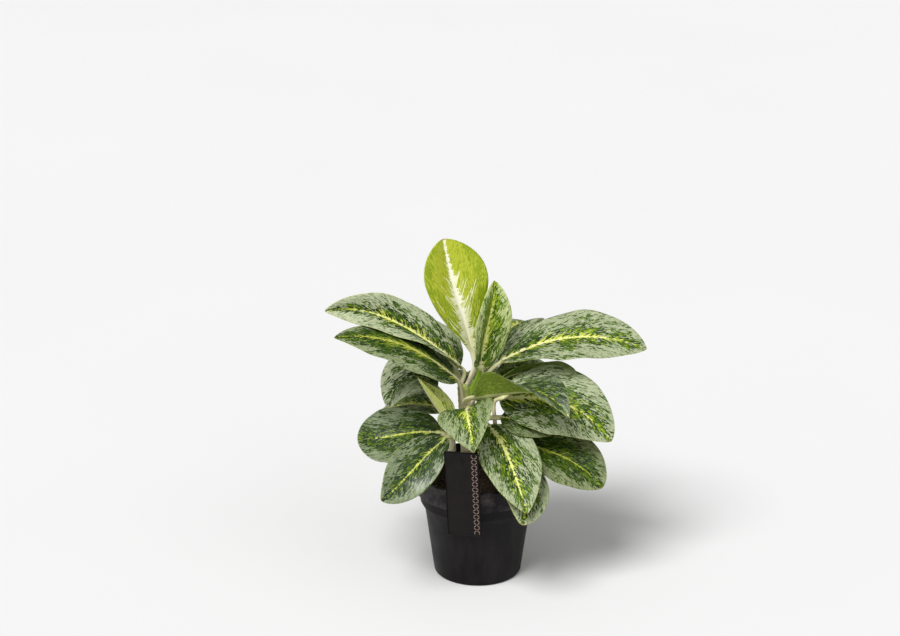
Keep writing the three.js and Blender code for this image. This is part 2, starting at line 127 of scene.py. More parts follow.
def apply_modifier(piece: bpy.types.Object, kind: str, **settings: object) -> None:
    """Add a modifier to a piece and apply it at once.

    Args:
        piece: the object to change.
        kind: the modifier's type.
        settings: the modifier's own settings.
    """
    choose(piece)
    modifier = piece.modifiers.new(kind.title(), kind)
    for key, value in settings.items():
        setattr(modifier, key, value)
    bpy.ops.object.modifier_apply(modifier=modifier.name)


def close_skin(piece: bpy.types.Object, merge: float = 1e-7) -> None:
    """Merge a piece's doubled points and turn its faces outwards.

    Args:
        piece: the object to clean.
        merge: how near two points are merged, in metres.
    """
    choose(piece)
    bpy.ops.object.mode_set(mode="EDIT")
    bpy.ops.mesh.select_all(action="SELECT")
    bpy.ops.mesh.remove_doubles(threshold=merge)
    bpy.ops.mesh.normals_make_consistent(inside=False)
    bpy.ops.object.mode_set(mode="OBJECT")


def turned(name: str, profile: Sequence[Pair], sides: int) -> bpy.types.Object:
    """Turn a profile about the Z axis by extruding and scaling one ring after another.

    Args:
        name: the new object's name.
        profile: radius and height of each ring, in millimetres, none of them of radius 0.
        sides: how many points a ring has.

    Returns:
        The closed turned object, with flat ends.
    """
    deselect()
    radius, height = profile[0]
    bpy.ops.mesh.primitive_circle_add(
        vertices=sides, radius=radius * MM, fill_type="NGON", location=(0.0, 0.0, height * MM)
    )
    piece = named(name)
    settle(piece)
    bpy.ops.object.mode_set(mode="EDIT")
    bpy.ops.mesh.select_all(action="SELECT")
    for next_radius, next_height in profile[1:]:
        bpy.ops.mesh.extrude_region_move(
            TRANSFORM_OT_translate={"value": (0.0, 0.0, (next_height - height) * MM)}
        )
        scale = next_radius / radius
        bpy.ops.transform.resize(
            value=(scale, scale, 1.0), center_override=(0.0, 0.0, next_height * MM)
        )
        radius, height = next_radius, next_height
    bpy.ops.mesh.select_all(action="SELECT")
    bpy.ops.mesh.normals_make_consistent(inside=False)
    bpy.ops.object.mode_set(mode="OBJECT")
    return piece


def joined(parts: Sequence[bpy.types.Object], name: str) -> bpy.types.Object:
    """Join objects into one piece, with their places and turns in its mesh.

    Args:
        parts: the objects.
        name: the piece's name.

    Returns:
        The piece.
    """
    piece = choose(*parts)
    bpy.ops.object.join()
    piece.name = name
    settle(piece)
    return piece


def store_places(piece: bpy.types.Object, name: str, values: Sequence[Triple]) -> None:
    """Store one vector for each point of a piece, on the corners of its faces.

    Args:
        piece: the object that takes the attribute.
        name: the attribute's name.
        values: a vector for each vertex.
    """
    layer = piece.data.attributes.new(name, "FLOAT_VECTOR", "CORNER")
    flat: list[float] = []
    for loop in piece.data.loops:
        flat.extend(values[loop.vertex_index])
    layer.data.foreach_set("vector", flat)


# ---------------------------------------------------------------- paints


@dataclass(frozen=True)
class Colour:
    """A colour in linear light."""

    red: float
    green: float
    blue: float

    def rgba(self) -> tuple[float, float, float, float]:
        """Return the colour with full opacity."""
        return (self.red, self.green, self.blue, 1.0)


class Paint:
    """The node tree of one material, with a short call for each kind of node it needs."""

    def __init__(self, name: str) -> None:
        """Start a material with nothing but its shader.

        Args:
            name: the material's name.
        """
        self.material = bpy.data.materials.new(name)
        self.material.use_nodes = True
        self.tree = self.material.node_tree
        self.shader = self.tree.nodes["Principled BSDF"]

    def add(self, kind: str, **settings: object) -> bpy.types.Node:
        """Add a node and set its properties.

        Args:
            kind: the node's type.
            settings: its properties.

        Returns:
            The node.
        """
        node = self.tree.nodes.new(kind)
        for key, value in settings.items():
            setattr(node, key, value)
        return node

    def feed(self, socket: Socket, value: object) -> None:
        """Link a socket to another one, or set its own value.

        Args:
            socket: the socket that takes the value.
            value: a socket, a colour or a number.
        """
        if isinstance(value, Socket):
            self.tree.links.new(value, socket)
        elif isinstance(value, Colour):
            socket.default_value = value.rgba()
        else:
            socket.default_value = value

    def maths(self, operation: str, *values: object) -> Socket:
        """Add a maths node.

        Args:
            operation: what it does.
            values: one, two or three numbers or sockets.

        Returns:
            Its result.
        """
        node = self.add("ShaderNodeMath", operation=operation)
        for socket, value in zip(node.inputs, values):
            self.feed(socket, value)
        return node.outputs[0]

    def plus(self, *values: object) -> Socket:
        """Return the sum of two values."""
        return self.maths("ADD", *values)

    def minus(self, *values: object) -> Socket:
        """Return the first value less the second."""
        return self.maths("SUBTRACT", *values)

    def times(self, *values: object) -> Socket:
        """Return the product of two values."""
        return self.maths("MULTIPLY", *values)

    def weigh(self, value: object, weight: object, rest: object) -> Socket:
        """Return a value times its weight, plus the rest."""
        return self.maths("MULTIPLY_ADD", value, weight, rest)

    def size(self, value: object) -> Socket:
        """Return a value without its sign."""
        return self.maths("ABSOLUTE", value)

    def fold(self, value: object, pitch: float) -> Socket:
        """Return how far a value lies from the middle of its step, as a share of the pitch."""
        return self.size(self.minus(self.maths("FRACT", self.maths("DIVIDE", value, pitch)), 0.5))

    def rise(self, value: object, low: object, high: object, start: float = 0.0,
             end: float = 1.0) -> Socket:
        """Rise softly while a value goes from low to high.

        Args:
            value: the value.
            low: where the rise starts.
            high: where it ends.
            start: the result up to low.
            end: the result from high on.

        Returns:
            The result.
        """
        node = self.add("ShaderNodeMapRange", interpolation_type="SMOOTHSTEP")
        for key, given in zip(("Value", "From Min", "From Max", "To Min", "To Max"),
                              (value, low, high, start, end)):
            self.feed(node.inputs[key], given)
        return node.outputs["Result"]

    def above(self, value: Socket, blur: float) -> Socket:
        """Return 1 where a value is above 0 and 0 where it is below, with a narrow blur between."""
        return self.rise(value, -blur, blur)

    def mix(self, share: object, low: object, high: object) -> Socket:
        """Mix two colours.

        Args:
            share: the share of the second one.
            low: the first colour.
            high: the second colour.

        Returns:
            The mixed colour.
        """
        node = self.add("ShaderNodeMix", data_type="RGBA")
        self.feed(node.inputs["Factor"], share)
        self.feed(node.inputs[6], low)
        self.feed(node.inputs[7], high)
        return node.outputs[2]

    def parts(self, vector: Socket) -> tuple[Socket, Socket, Socket]:
        """Take a vector apart.

        Args:
            vector: the vector.

        Returns:
            Its three parts.
        """
        node = self.add("ShaderNodeSeparateXYZ")
        self.feed(node.inputs[0], vector)
        return node.outputs[0], node.outputs[1], node.outputs[2]

    def join(self, *values: object) -> Socket:
        """Put a vector together.

        Args:
            values: its three parts.

        Returns:
            The vector.
        """
        node = self.add("ShaderNodeCombineXYZ")
        for socket, value in zip(node.inputs, values):
            self.feed(socket, value)
        return node.outputs[0]

    def stored(self, name: str) -> Socket:
        """Return the vector that a piece stores under a name."""
        return self.add("ShaderNodeAttribute", attribute_name=name).outputs["Vector"]

    def place(self) -> Socket:
        """Return the place on the object, in metres."""
        return self.add("ShaderNodeTexCoord").outputs["Object"]

    def noise(self, vector: Socket, scale: float, detail: float = 2.0, rough: float = 0.5,
              twist: float = 0.0) -> Socket:
        """Add an even noise.

        Args:
            vector: the place.
            scale: the number of lumps for each unit of the vector.
            detail: how many finer noises lie on it.
            rough: how strong those are.
            twist: how far it is warped.

        Returns:
            The noise, mostly near a half.
        """
        node = self.add("ShaderNodeTexNoise")
        self.feed(node.inputs["Vector"], vector)
        self.feed(node.inputs["Scale"], scale)
        self.feed(node.inputs["Detail"], detail)
        self.feed(node.inputs["Roughness"], rough)
        self.feed(node.inputs["Distortion"], twist)
        return node.outputs["Fac"]

    def cells(self, vector: Socket, scale: float) -> tuple[Socket, Sequence[Socket]]:
        """Scatter cells evenly.

        Args:
            vector: the place.
            scale: how many cells there are along each unit of the vector.

        Returns:
            The distance to the nearest cell's middle, and three even draws of that cell.
        """
        node = self.add("ShaderNodeTexVoronoi")
        self.feed(node.inputs["Vector"], vector)
        self.feed(node.inputs["Scale"], scale)
        return node.outputs["Distance"], self.parts(node.outputs["Color"])

    def dress(self, colour: Socket, roughness: object, height: Socket | None = None,
              depth: float = 0.1, **fixed: float) -> bpy.types.Material:
        """Link the shader and return the finished material.

        Args:
            colour: the base colour.
            roughness: the roughness, fixed or by place.
            height: the relief, from 0 to 1.
            depth: how deep the relief is, in millimetres.
            fixed: values of other shader sockets, with _ in place of a space.

        Returns:
            The material.
        """
        self.feed(self.shader.inputs["Base Color"], colour)
        self.feed(self.shader.inputs["Roughness"], roughness)
        for key, value in fixed.items():
            self.feed(self.shader.inputs[key.replace("_", " ")], value)
        if height is not None:
            bump = self.add("ShaderNodeBump")
            self.feed(bump.inputs["Distance"], depth * MM)
            self.feed(bump.inputs["Height"], height)
            self.feed(self.shader.inputs["Normal"], bump.outputs["Normal"])
        return self.material


# ---------------------------------------------------------------- finishes


@dataclass(frozen=True)
class LeafFinish:
    """The colours and markings of one kind of leaf.

    A leaf stores three vectors: blade_place (across, along, seed, in millimetres), blade_share (across
    and along as shares, and 1 on the underside) and blade_vein (where the point's side vein leaves the
    midrib, how far out along it the point lies, and how far it is from the margin, in millimetres).

    Green flecks lie on the pale ground where their level is high. greenness_across is that level at the
    midrib, halfway out and at the margin. green_and_shade_at_base is how far up the blade the stalk end
    is greener, and by how much: partly the leaf's own greener base, partly painted shade.
    greenness_at_tip is what the tip adds. crowding and patches are its swings from place to place.
    vivid_share and speck_share are the shares of bright flecks and of yellow specks at the midrib. The
    scales are marks to a millimetre, and squeeze and the stretches draw the marks out. Half widths run
    from the stalk end to the tip, feather_levels from the midrib outwards, and the fades are where along
    the blade the fading starts and ends.
    """

    name: str
    pale: Colour
    pale_dim: Colour
    green: Colour
    green_deep: Colour
    vivid: Colour
    rib: Colour
    rib_base: Colour
    feather: Colour
    speck: Colour
    under: Colour
    under_deep: Colour
    stalk_foot: Colour = Colour(0.7, 0.63, 0.45)
    stalk_head: Colour = Colour(0.56, 0.54, 0.28)
    stalk_shade: Colour = Colour(0.4, 0.41, 0.2)
    tip: Colour = Colour(0.28, 0.17, 0.06)
    greenness_across: Triple = (1.1, 0.68, 0.42)
    # The stalk end's extra green is partly the leaf's own colour and partly painted shade.
    green_and_shade_at_base: Pair = (0.38, 0.42)
    greenness_at_tip: float = -0.1
    crowding: float = 0.12
    patches: float = 0.26
    vivid_share: float = 0.26
    dots: float = 0.2
    rib_half_width: Pair = (1.9, 0.5)
    rib_fades: Pair = (0.4, 0.95)
    keel_half_width: Pair = (2.4, 0.8)
    feather_reach: Pair = (2.0, 15.0)
    feather_levels: Pair = (0.48, 0.68)
    feather_fades: Pair = (0.35, 0.95)
    branching: float = 0.07
    barb_stretch: float = 0.14
    speck_share: float = 0.3
    speck_reach: float = 0.42
    speck_scale: float = 0.66
    speck_stretch: float = 0.7
    vein_pitch: float = 8.5
    fine_scale: float = 0.5
    broad_scale: float = 0.15
    cloud_scale: float = 0.05
    fleck_scale: float = 0.72
    fleck_stretch: float = 0.95
    dot_scale: float = 1.08
    squeeze: float = 0.6
    tip_from: float = 0.987
    roughness: Pair = (0.4, 0.52)
    relief: float = 0.35
    shine: float = 0.17

    def paint(self) -> bpy.types.Material:
        """Return the leaf's material."""
        return LeafPaint(self).leaf()


class LeafPaint(Paint):
    """The node tree of one kind of leaf, with the markings that its finish describes."""

    def __init__(self, finish: LeafFinish) -> None:
        """Start the material, and read what a leaf stores at each place.

        Args:
            finish: the leaf's colours and markings.
        """
        super().__init__(finish.name)
        self.finish = finish
        self.across, self.along, self.seed = self.parts(self.stored("blade_place"))
        share_across, self.share, self.underside = self.parts(self.stored("blade_share"))
        self.start, self.out, self.margin = self.parts(self.stored("blade_vein"))
        self.away, self.zone = self.size(self.across), self.size(share_across)
        self.squeezed = self.join(self.times(self.start, finish.squeeze), self.out, self.seed)
        self.fine = self.noise(self.squeezed, finish.fine_scale, 2.0, 0.55, 0.5)
        self.broad = self.noise(self.squeezed, finish.broad_scale, 2.0, 0.5)
        spread = self.join(self.across, self.along, self.seed)
        self.clouds = self.noise(spread, finish.cloud_scale, 1.0)

    def greenness(self) -> Socket:
        """Crowd the green flecks at the midrib and at the stalk end, and thin them at the margin; the extra
        ones at the stalk end are partly painted shade.

        Returns:
            The share of flecks that are green.
        """
        look = self.finish
        inner, halfway, edge = look.greenness_across
        base_reach, base_green_and_shade = look.green_and_shade_at_base
        level = self.rise(self.zone, 0.1, 0.6, inner, halfway)
        for extra in (
            self.rise(self.zone, 0.4, 0.9, 0.0, edge - halfway),
            self.rise(self.share, 0.45, 0.95, 0.0, look.greenness_at_tip),
            # More green flecks at the stalk end: partly its own greener base, partly painted shade.
            self.rise(self.share, 0.0, base_reach, base_green_and_shade, 0.0),
            self.rise(self.clouds, *MOST_NOISE, -look.crowding, look.crowding),
            self.rise(self.broad, *MOST_NOISE, -look.patches, look.patches),
        ):
            level = self.plus(level, extra)
        return level

    def flecks(self, place: Socket) -> tuple[Socket, Sequence[Socket]]:
        """Scatter crisp green flecks, with pale dots in them and green dots between them.

        Args:
            place: the place along the side veins.

        Returns:
            Where it is green, and three even draws for each fleck.
        """
        distance, draws = self.cells(place, self.finish.fleck_scale)
        value = self.weigh(distance, 0.6, self.times(draws[0], 0.7))
        large = self.above(self.minus(self.greenness(), value), 0.03)
        distance, small_draws = self.cells(place, self.finish.dot_scale)
        value = self.weigh(distance, 0.5, small_draws[0])
        small = self.rise(value, self.finish.dots, self.finish.dots + 0.04, 1.0, 0.0)
        return self.size(self.minus(large, small)), draws

    def specks(self, bent: Socket) -> Socket:
        """Scatter yellow specks about the midrib, fewer towards the tip.

        Args:
            bent: the place along the midrib at which the side vein leaves it, unevenly bent.

        Returns:
            Where the specks are.
        """
        look = self.finish
        place = self.join(bent, self.times(self.out, look.speck_stretch), self.plus(self.seed, 31.7))
        distance, draws = self.cells(place, look.speck_scale)
        limit = self.times(self.rise(self.zone, 0.0, look.speck_reach, look.speck_share, 0.0),
                           self.rise(self.share, 0.55, 0.95, 1.0, 0.2))
        return self.above(self.minus(limit, self.weigh(distance, 0.35, draws[0])), 0.02)

    def vein(self, line: float, blur: float, strength: float) -> Socket:
        """Return a strength on the side veins, full within a line's share of their pitch, 0 past the blur."""
        return self.rise(self.fold(self.start, self.finish.vein_pitch), line, blur, strength, 0.0)

    def feathering(self) -> Socket:
        """Run the midrib's colour out along the side veins, in barbs of uneven length.

        Returns:
            How much of that colour each place has.
        """
        look = self.finish
        place = self.join(self.times(self.start, look.squeeze), self.times(self.out, look.barb_stretch),
                          self.seed)
        barbs = self.plus(self.noise(place, 0.95, 2.0, 0.55, 0.5), self.vein(0.03, 0.12, look.branching))
        halves = self.join(self.start, self.seed, self.maths("SIGN", self.out))
        reach = self.rise(self.noise(halves, 0.22, 1.0), 0.36, 0.66, *look.feather_reach)
        reach = self.times(reach, self.rise(self.share, *look.feather_fades, 1.0, 0.12))
        level = self.rise(self.away, 0.0, reach, *look.feather_levels)
        near = self.rise(self.away, self.times(reach, 0.8), reach, 1.0, 0.0)
        return self.times(near, self.rise(barbs, level, self.plus(level, 0.04)))

    def midrib(self) -> Socket:
        """Draw the midrib, uneven in width, and broken and lost towards the tip.

        Returns:
            Where it shows.
        """
        swings = self.noise(self.join(self.along, self.seed, 7.0), 0.5, 3.0)
        gaps = self.noise(self.join(self.along, self.seed, 19.0), 0.2, 2.0)
        width = self.rise(self.share, 0.0, 1.0, *self.finish.rib_half_width)
        width = self.times(width, self.rise(swings, 0.34, 0.66, 0.35, 1.8))
        lost = self.rise(self.share, *self.finish.rib_fades, 0.22, 0.66)
        shown = self.rise(gaps, self.minus(lost, 0.04), self.plus(lost, 0.04))
        near = self.rise(self.away, self.times(width, 0.5), self.times(width, 1.1), 1.0, 0.0)
        return self.times(near, shown)

    def upper_face(self) -> Socket:
        """Lay the pale ground, its flecks and specks, the feathers, the midrib and the margin.

        Returns:
            The colour of the blade's upper face.
        """
        look = self.finish
        bent = self.weigh(self.start, look.squeeze, self.fine)
        place = self.join(bent, self.times(self.out, look.fleck_stretch), self.seed)
        flecks, draws = self.flecks(place)
        pale = self.rise(self.weigh(draws[1], 0.12, self.fine), 0.36, 0.62)
        ground = self.mix(pale, look.pale_dim, look.pale)
        ground = self.mix(self.vein(0.0, 0.09, 0.5), ground, look.pale_dim)
        light = self.rise(self.weigh(draws[2], 0.2, self.broad), 0.5, 0.78)
        greens = self.mix(light, look.green_deep, look.green)
        lively = self.times(self.rise(self.zone, 0.1, 0.75, look.vivid_share, 0.0),
                            self.rise(self.share, 0.1, 0.5))
        lively = self.above(self.minus(lively, draws[1]), 0.01)
        colour = self.mix(flecks, ground, self.mix(lively, greens, look.vivid))
        colour = self.mix(self.specks(bent), colour, look.speck)
        colour = self.mix(self.feathering(), colour, look.feather)
        rib = self.mix(self.rise(self.share, 0.05, 0.4), look.rib_base, look.rib)
        colour = self.mix(self.midrib(), colour, rib)
        edge = self.times(self.rise(self.margin, 0.2, 0.6, 0.6, 0.0),
                          self.rise(self.fine, 0.35, 0.6, 0.2, 1.0))
        return self.mix(edge, colour, look.feather)

    def lower_face(self) -> Socket:
        """Lay the plainer green of the underside, its pale keel and a few cream flecks.

        Returns:
            The colour of the blade's lower face.
        """
        look = self.finish
        colour = self.mix(self.rise(self.fine, 0.4, 0.62), look.under_deep, look.under)
        width = self.rise(self.share, 0.1, 0.9, *look.keel_half_width)
        keel = self.rise(self.minus(self.away, width), -0.5, 0.5, 0.9, 0.0)
        distance, draws = self.cells(self.squeezed, 0.8)
        flecks = self.rise(self.weigh(distance, 0.3, draws[0]), 0.2, 0.24, 0.7, 0.0)
        return self.mix(flecks, self.mix(keel, colour, look.rib_base), look.feather)

    def stalk(self) -> Socket:
        """Thread the stalk faintly along its length.

        Returns:
            The stalk's colour.
        """
        look = self.finish
        place = self.join(self.times(self.across, 1.3), self.times(self.along, 0.06), self.seed)
        threads = self.rise(self.noise(place, 0.9, 3.0), 0.5, 0.66, 0.0, 0.6)
        colour = self.mix(self.rise(self.share, -0.8, 0.05), look.stalk_foot, look.stalk_head)
        return self.mix(threads, colour, look.stalk_shade)

    def leaf(self) -> bpy.types.Material:
        """Join the two faces, the stalk and the dry tip.

        Returns:
            The leaf's material.
        """
        look = self.finish
        colour = self.mix(self.underside, self.upper_face(), self.lower_face())
        colour = self.mix(self.rise(self.share, -0.02, 0.04, 1.0, 0.0), colour, self.stalk())
        colour = self.mix(self.rise(self.share, look.tip_from, 0.998, 0.0, 0.85), colour, look.tip)
        gloss = self.rise(self.fine, 0.35, 0.65, *look.roughness)
        lumps = self.plus(self.times(self.broad, 0.7), self.times(self.fine, 0.3))
        return self.dress(colour, gloss, lumps, look.relief, Specular_IOR_Level=look.shine)


GROWN_LEAF = LeafFinish(
    "grown leaf", pale=Colour(0.41, 0.46, 0.275), pale_dim=Colour(0.22, 0.265, 0.14),
    green=Colour(0.075, 0.14, 0.012), green_deep=Colour(0.012, 0.033, 0.004),
    vivid=Colour(0.22, 0.32, 0.01), rib=Colour(0.8, 0.81, 0.28), rib_base=Colour(0.74, 0.7, 0.42),
    feather=Colour(0.6, 0.65, 0.1), speck=Colour(0.58, 0.64, 0.1),
    under=Colour(0.2, 0.28, 0.035), under_deep=Colour(0.125, 0.185, 0.018),
)


class Look(Enum):
    """The kinds of leaf on the plant, some of them copies of the grown leaf painted darker as shade or paler
    as light.
    """

    GROWN = GROWN_LEAF
    # More silver and less green than the grown leaf, with a paler ground that is partly a painted highlight.
    SILVER = replace(
        GROWN_LEAF, name="silver leaf with painted light", pale=Colour(0.48, 0.53, 0.33),
        greenness_across=(1.15, 0.52, 0.34), greenness_at_tip=-0.45, vivid_share=0.08,
    )
    MOTTLED = replace(GROWN_LEAF, name="mottled leaf", greenness_across=(0.98, 0.58, 0.43))
    MIDDLE = replace(
        MOTTLED, name="middle leaf", pale=Colour(0.31, 0.37, 0.18), pale_dim=Colour(0.165, 0.21, 0.09),
    )
    # Denser green flecks, with the ground and greens painted darker as shade from the leaf above.
    DENSE = replace(
        GROWN_LEAF, name="dense leaf with painted shade", pale=Colour(0.31, 0.36, 0.19), pale_dim=Colour(0.16, 0.2, 0.085),
        green=Colour(0.04, 0.085, 0.008), vivid=Colour(0.13, 0.2, 0.008), rib=Colour(0.52, 0.53, 0.1),
        rib_base=Colour(0.6, 0.57, 0.3), feather=Colour(0.38, 0.43, 0.05), speck=Colour(0.32, 0.38, 0.04),
        greenness_across=(1.3, 0.92, 0.52),
    )
    # A glossier leaf with a narrow midrib, whose darker ground and greens are partly painted shade.
    GREY = replace(
        GROWN_LEAF, name="grey leaf with painted shade", pale=Colour(0.235, 0.285, 0.16), pale_dim=Colour(0.12, 0.155, 0.075),
        green=Colour(0.036, 0.072, 0.009), green_deep=Colour(0.009, 0.024, 0.004),
        vivid=Colour(0.12, 0.2, 0.01), rib=Colour(0.6, 0.64, 0.12), rib_base=Colour(0.55, 0.56, 0.25),
        feather=Colour(0.42, 0.5, 0.06), speck=Colour(0.38, 0.46, 0.05), rib_half_width=(1.2, 0.5),
        feather_reach=(1.0, 7.0), speck_share=0.16, greenness_across=(1.15, 0.74, 0.46),
        roughness=(0.28, 0.4), shine=0.4,
    )
    HOODED = replace(
        GREY, name="hooded leaf", pale=Colour(0.23, 0.29, 0.15), pale_dim=Colour(0.11, 0.145, 0.065),
        greenness_across=(1.2, 0.9, 0.6),
    )
    # A plain leaf with a dim midrib, and a paler ground that is partly painted light on a leaf lying in
    # shade.
    MUTED = replace(
        GROWN_LEAF, name="muted leaf with painted light", pale=Colour(0.52, 0.57, 0.38), pale_dim=Colour(0.27, 0.32, 0.16),
        rib=Colour(0.2, 0.28, 0.08), rib_base=Colour(0.26, 0.3, 0.12), feather=Colour(0.24, 0.31, 0.06),
        speck=Colour(0.24, 0.31, 0.06), rib_half_width=(1.0, 0.2), feather_reach=(0.5, 3.0),
        greenness_across=(0.8, 0.62, 0.35), vivid_share=0.0,
    )
    # A darker copy of the grown leaf: its darker colours are painted shade, for leaves that lie under others.
    SHADED = replace(
        GROWN_LEAF, name="leaf with painted shade", pale=Colour(0.25, 0.29, 0.14), pale_dim=Colour(0.12, 0.155, 0.06),
        green=Colour(0.045, 0.09, 0.007), green_deep=Colour(0.01, 0.027, 0.003),
        vivid=Colour(0.1, 0.17, 0.006), rib=Colour(0.5, 0.53, 0.09), rib_base=Colour(0.5, 0.5, 0.24),
        feather=Colour(0.34, 0.41, 0.035), speck=Colour(0.32, 0.39, 0.03),
        under=Colour(0.12, 0.18, 0.03), under_deep=Colour(0.06, 0.1, 0.015),
        greenness_across=(1.2, 0.74, 0.43), rib_half_width=(1.2, 0.4), feather_reach=(1.0, 7.0),
    )
    LIME = LeafFinish(
        "new leaf", pale=Colour(0.45, 0.5, 0.04), pale_dim=Colour(0.31, 0.39, 0.017),
        green=Colour(0.28, 0.37, 0.015), green_deep=Colour(0.21, 0.3, 0.011),
        vivid=Colour(0.52, 0.57, 0.06), rib=Colour(0.92, 0.9, 0.7), rib_base=Colour(0.94, 0.9, 0.58),
        feather=Colour(0.8, 0.82, 0.46), speck=Colour(0.74, 0.77, 0.35),
        under=Colour(0.42, 0.5, 0.06), under_deep=Colour(0.28, 0.37, 0.03),
        stalk_head=Colour(0.84, 0.82, 0.62), stalk_shade=Colour(0.56, 0.6, 0.3),
        greenness_across=(0.3, 0.36, 0.78), patches=0.3, dots=0.0, vivid_share=0.08,
        speck_share=0.1, speck_reach=0.9, rib_half_width=(6.6, 1.4), rib_fades=(0.9, 1.6),
        feather_reach=(9.0, 34.0), feather_levels=(0.43, 0.68), feather_fades=(0.45, 0.9), branching=0.17,
    )
    FRESH = LeafFinish(
        "fresh leaf", pale=Colour(0.6, 0.67, 0.32), pale_dim=Colour(0.36, 0.46, 0.12),
        green=Colour(0.13, 0.24, 0.012), green_deep=Colour(0.03, 0.085, 0.005),
        vivid=Colour(0.27, 0.38, 0.012), rib=Colour(0.84, 0.86, 0.26), rib_base=Colour(0.86, 0.86, 0.46),
        feather=Colour(0.6, 0.66, 0.1), speck=Colour(0.58, 0.64, 0.1),
        under=Colour(0.22, 0.32, 0.04), under_deep=Colour(0.13, 0.21, 0.02),
        stalk_foot=Colour(0.24, 0.36, 0.04), stalk_head=Colour(0.19, 0.32, 0.02),
        stalk_shade=Colour(0.1, 0.2, 0.012), greenness_across=(1.3, 0.85, 0.45), vivid_share=0.45,
        rib_half_width=(3.4, 0.9),
    )
    # Pale lime and cream, its face and underside made paler still as painted light on a leaf that lies in
    # shade.
    ROLLED = LeafFinish(
        "rolled leaf with painted light", pale=Colour(0.78, 0.82, 0.32), pale_dim=Colour(0.58, 0.66, 0.12),
        green=Colour(0.34, 0.46, 0.02), green_deep=Colour(0.18, 0.29, 0.01),
        vivid=Colour(0.34, 0.42, 0.02), rib=Colour(0.8, 0.78, 0.4), rib_base=Colour(0.8, 0.76, 0.55),
        feather=Colour(0.74, 0.76, 0.32), speck=Colour(0.72, 0.74, 0.32),
        under=Colour(0.88, 0.92, 0.36), under_deep=Colour(0.7, 0.79, 0.14),
        greenness_across=(0.6, 0.4, 0.2),
    )


@dataclass(frozen=True)
class CaneFinish:
    """Smooth cream-white living stem with faint threads and darker rings where leaves were shed."""

    cream: Colour = Colour(0.7, 0.63, 0.46)
    shade: Colour = Colour(0.5, 0.47, 0.27)
    ring: Colour = Colour(0.34, 0.27, 0.14)
    head: Colour = Colour(0.3, 0.38, 0.07)
    head_from: Pair = (0.15, 0.185)
    ring_pitch: float = 13.0
    ring_swing: float = 3.0

    def paint(self) -> bpy.types.Material:
        """Thread, blotch and ring the stem.

        Returns:
            The cane's material.
        """
        paint = Paint("cane")
        x, y, z = paint.parts(paint.place())
        threads = paint.noise(paint.join(x, y, paint.times(z, 0.06)), 700.0, 3.0)
        blotches = paint.noise(paint.place(), 90.0, 3.0)
        colour = paint.mix(paint.rise(threads, 0.42, 0.66), self.cream, self.shade)
        colour = paint.mix(paint.rise(blotches, 0.56, 0.7, 0.0, 0.5), colour, self.shade)
        along = paint.plus(z, paint.times(blotches, self.ring_swing * MM))
        rings = paint.rise(paint.fold(along, self.ring_pitch * MM), 0.03, 0.09, 0.6, 0.0)
        colour = paint.mix(rings, colour, self.ring)
        colour = paint.mix(paint.rise(z, *self.head_from, 0.0, 0.85), colour, self.head)
        height = paint.minus(threads, rings)
        return paint.dress(colour, paint.rise(blotches, 0.3, 0.7, 0.38, 0.55), height, 0.3)


@dataclass(frozen=True)
class PlasticFinish:
    """Matt black nursery pot plastic, finely grained, rubbed and a little dusty, with a painted sheen on the
    collar.
    """

    black: Colour = Colour(0.0038, 0.0027, 0.003)
    worn: Colour = Colour(0.009, 0.007, 0.0075)
    # Pale colour of the patches: partly a real dusting, partly a painted sheen on the collar.
    dust_and_sheen: Colour = Colour(0.19, 0.164, 0.168)
    collar_foot: float = 84.0

    def paint(self) -> bpy.types.Material:
        """Grain and scuff the plastic, and lay pale patches on it, partly dusting and partly painted sheen,
        full on the collar and at a tenth below it.

        Returns:
            The pot's material.
        """
        paint = Paint("pot plastic")
        place = paint.place()
        x, y, z = paint.parts(place)
        flow = paint.noise(paint.join(x, y, paint.times(z, 0.15)), 130.0, 3.0)
        grain = paint.noise(place, 1500.0, 2.0)
        smudge = paint.noise(place, 34.0, 4.0, 0.6)
        colour = paint.mix(paint.rise(flow, 0.4, 0.7), self.black, self.worn)
        scuffs = paint.noise(paint.join(x, y, paint.times(z, 6.0)), 260.0, 2.0, 0.7)
        colour = paint.mix(paint.rise(scuffs, 0.66, 0.74, 0.0, 0.35), colour, self.worn)
        dusty = paint.times(paint.rise(smudge, 0.4, 0.66), paint.rise(grain, 0.4, 0.6, 0.1, 0.5))
        # The pale patches, partly dusting and partly painted sheen, lie full on the collar and at a tenth
        # below its foot, so the collar is painted lighter than the body.
        upper = paint.rise(z, (self.collar_foot - 1.5) * MM, (self.collar_foot + 0.5) * MM, 0.1, 1.0)
        colour = paint.mix(paint.times(dusty, upper), colour, self.dust_and_sheen)
        gloss = paint.rise(smudge, 0.3, 0.7, 0.42, 0.6)
        return paint.dress(colour, gloss, paint.plus(grain, flow), 0.06, Specular_IOR_Level=0.12)


@dataclass(frozen=True)
class SoilFinish:
    """Moist brown peat with paler fibre and bark."""

    name: str = "soil"
    dark: Colour = Colour(0.012, 0.007, 0.005)
    brown: Colour = Colour(0.062, 0.03, 0.018)
    pale: Colour = Colour(0.2, 0.12, 0.07)
    pale_from: float = 0.66

    def paint(self) -> bpy.types.Material:
        """Mix dark and brown crumbs with pale bits.

        Returns:
            The soil's material.
        """
        paint = Paint(self.name)
        place = paint.place()
        crumbs = paint.noise(place, 420.0, 4.0, 0.65)
        clods = paint.noise(place, 95.0, 3.0)
        colour = paint.mix(paint.rise(crumbs, 0.4, 0.62), self.dark, self.brown)
        colour = paint.mix(paint.rise(clods, 0.35, 0.6, 0.75, 0.0), colour, self.dark)
        bits = paint.noise(place, 760.0, 1.0)
        colour = paint.mix(paint.rise(bits, self.pale_from, self.pale_from + 0.04), colour, self.pale)
        return paint.dress(colour, paint.rise(crumbs, 0.3, 0.7, 0.75, 0.97), crumbs, 1.2)


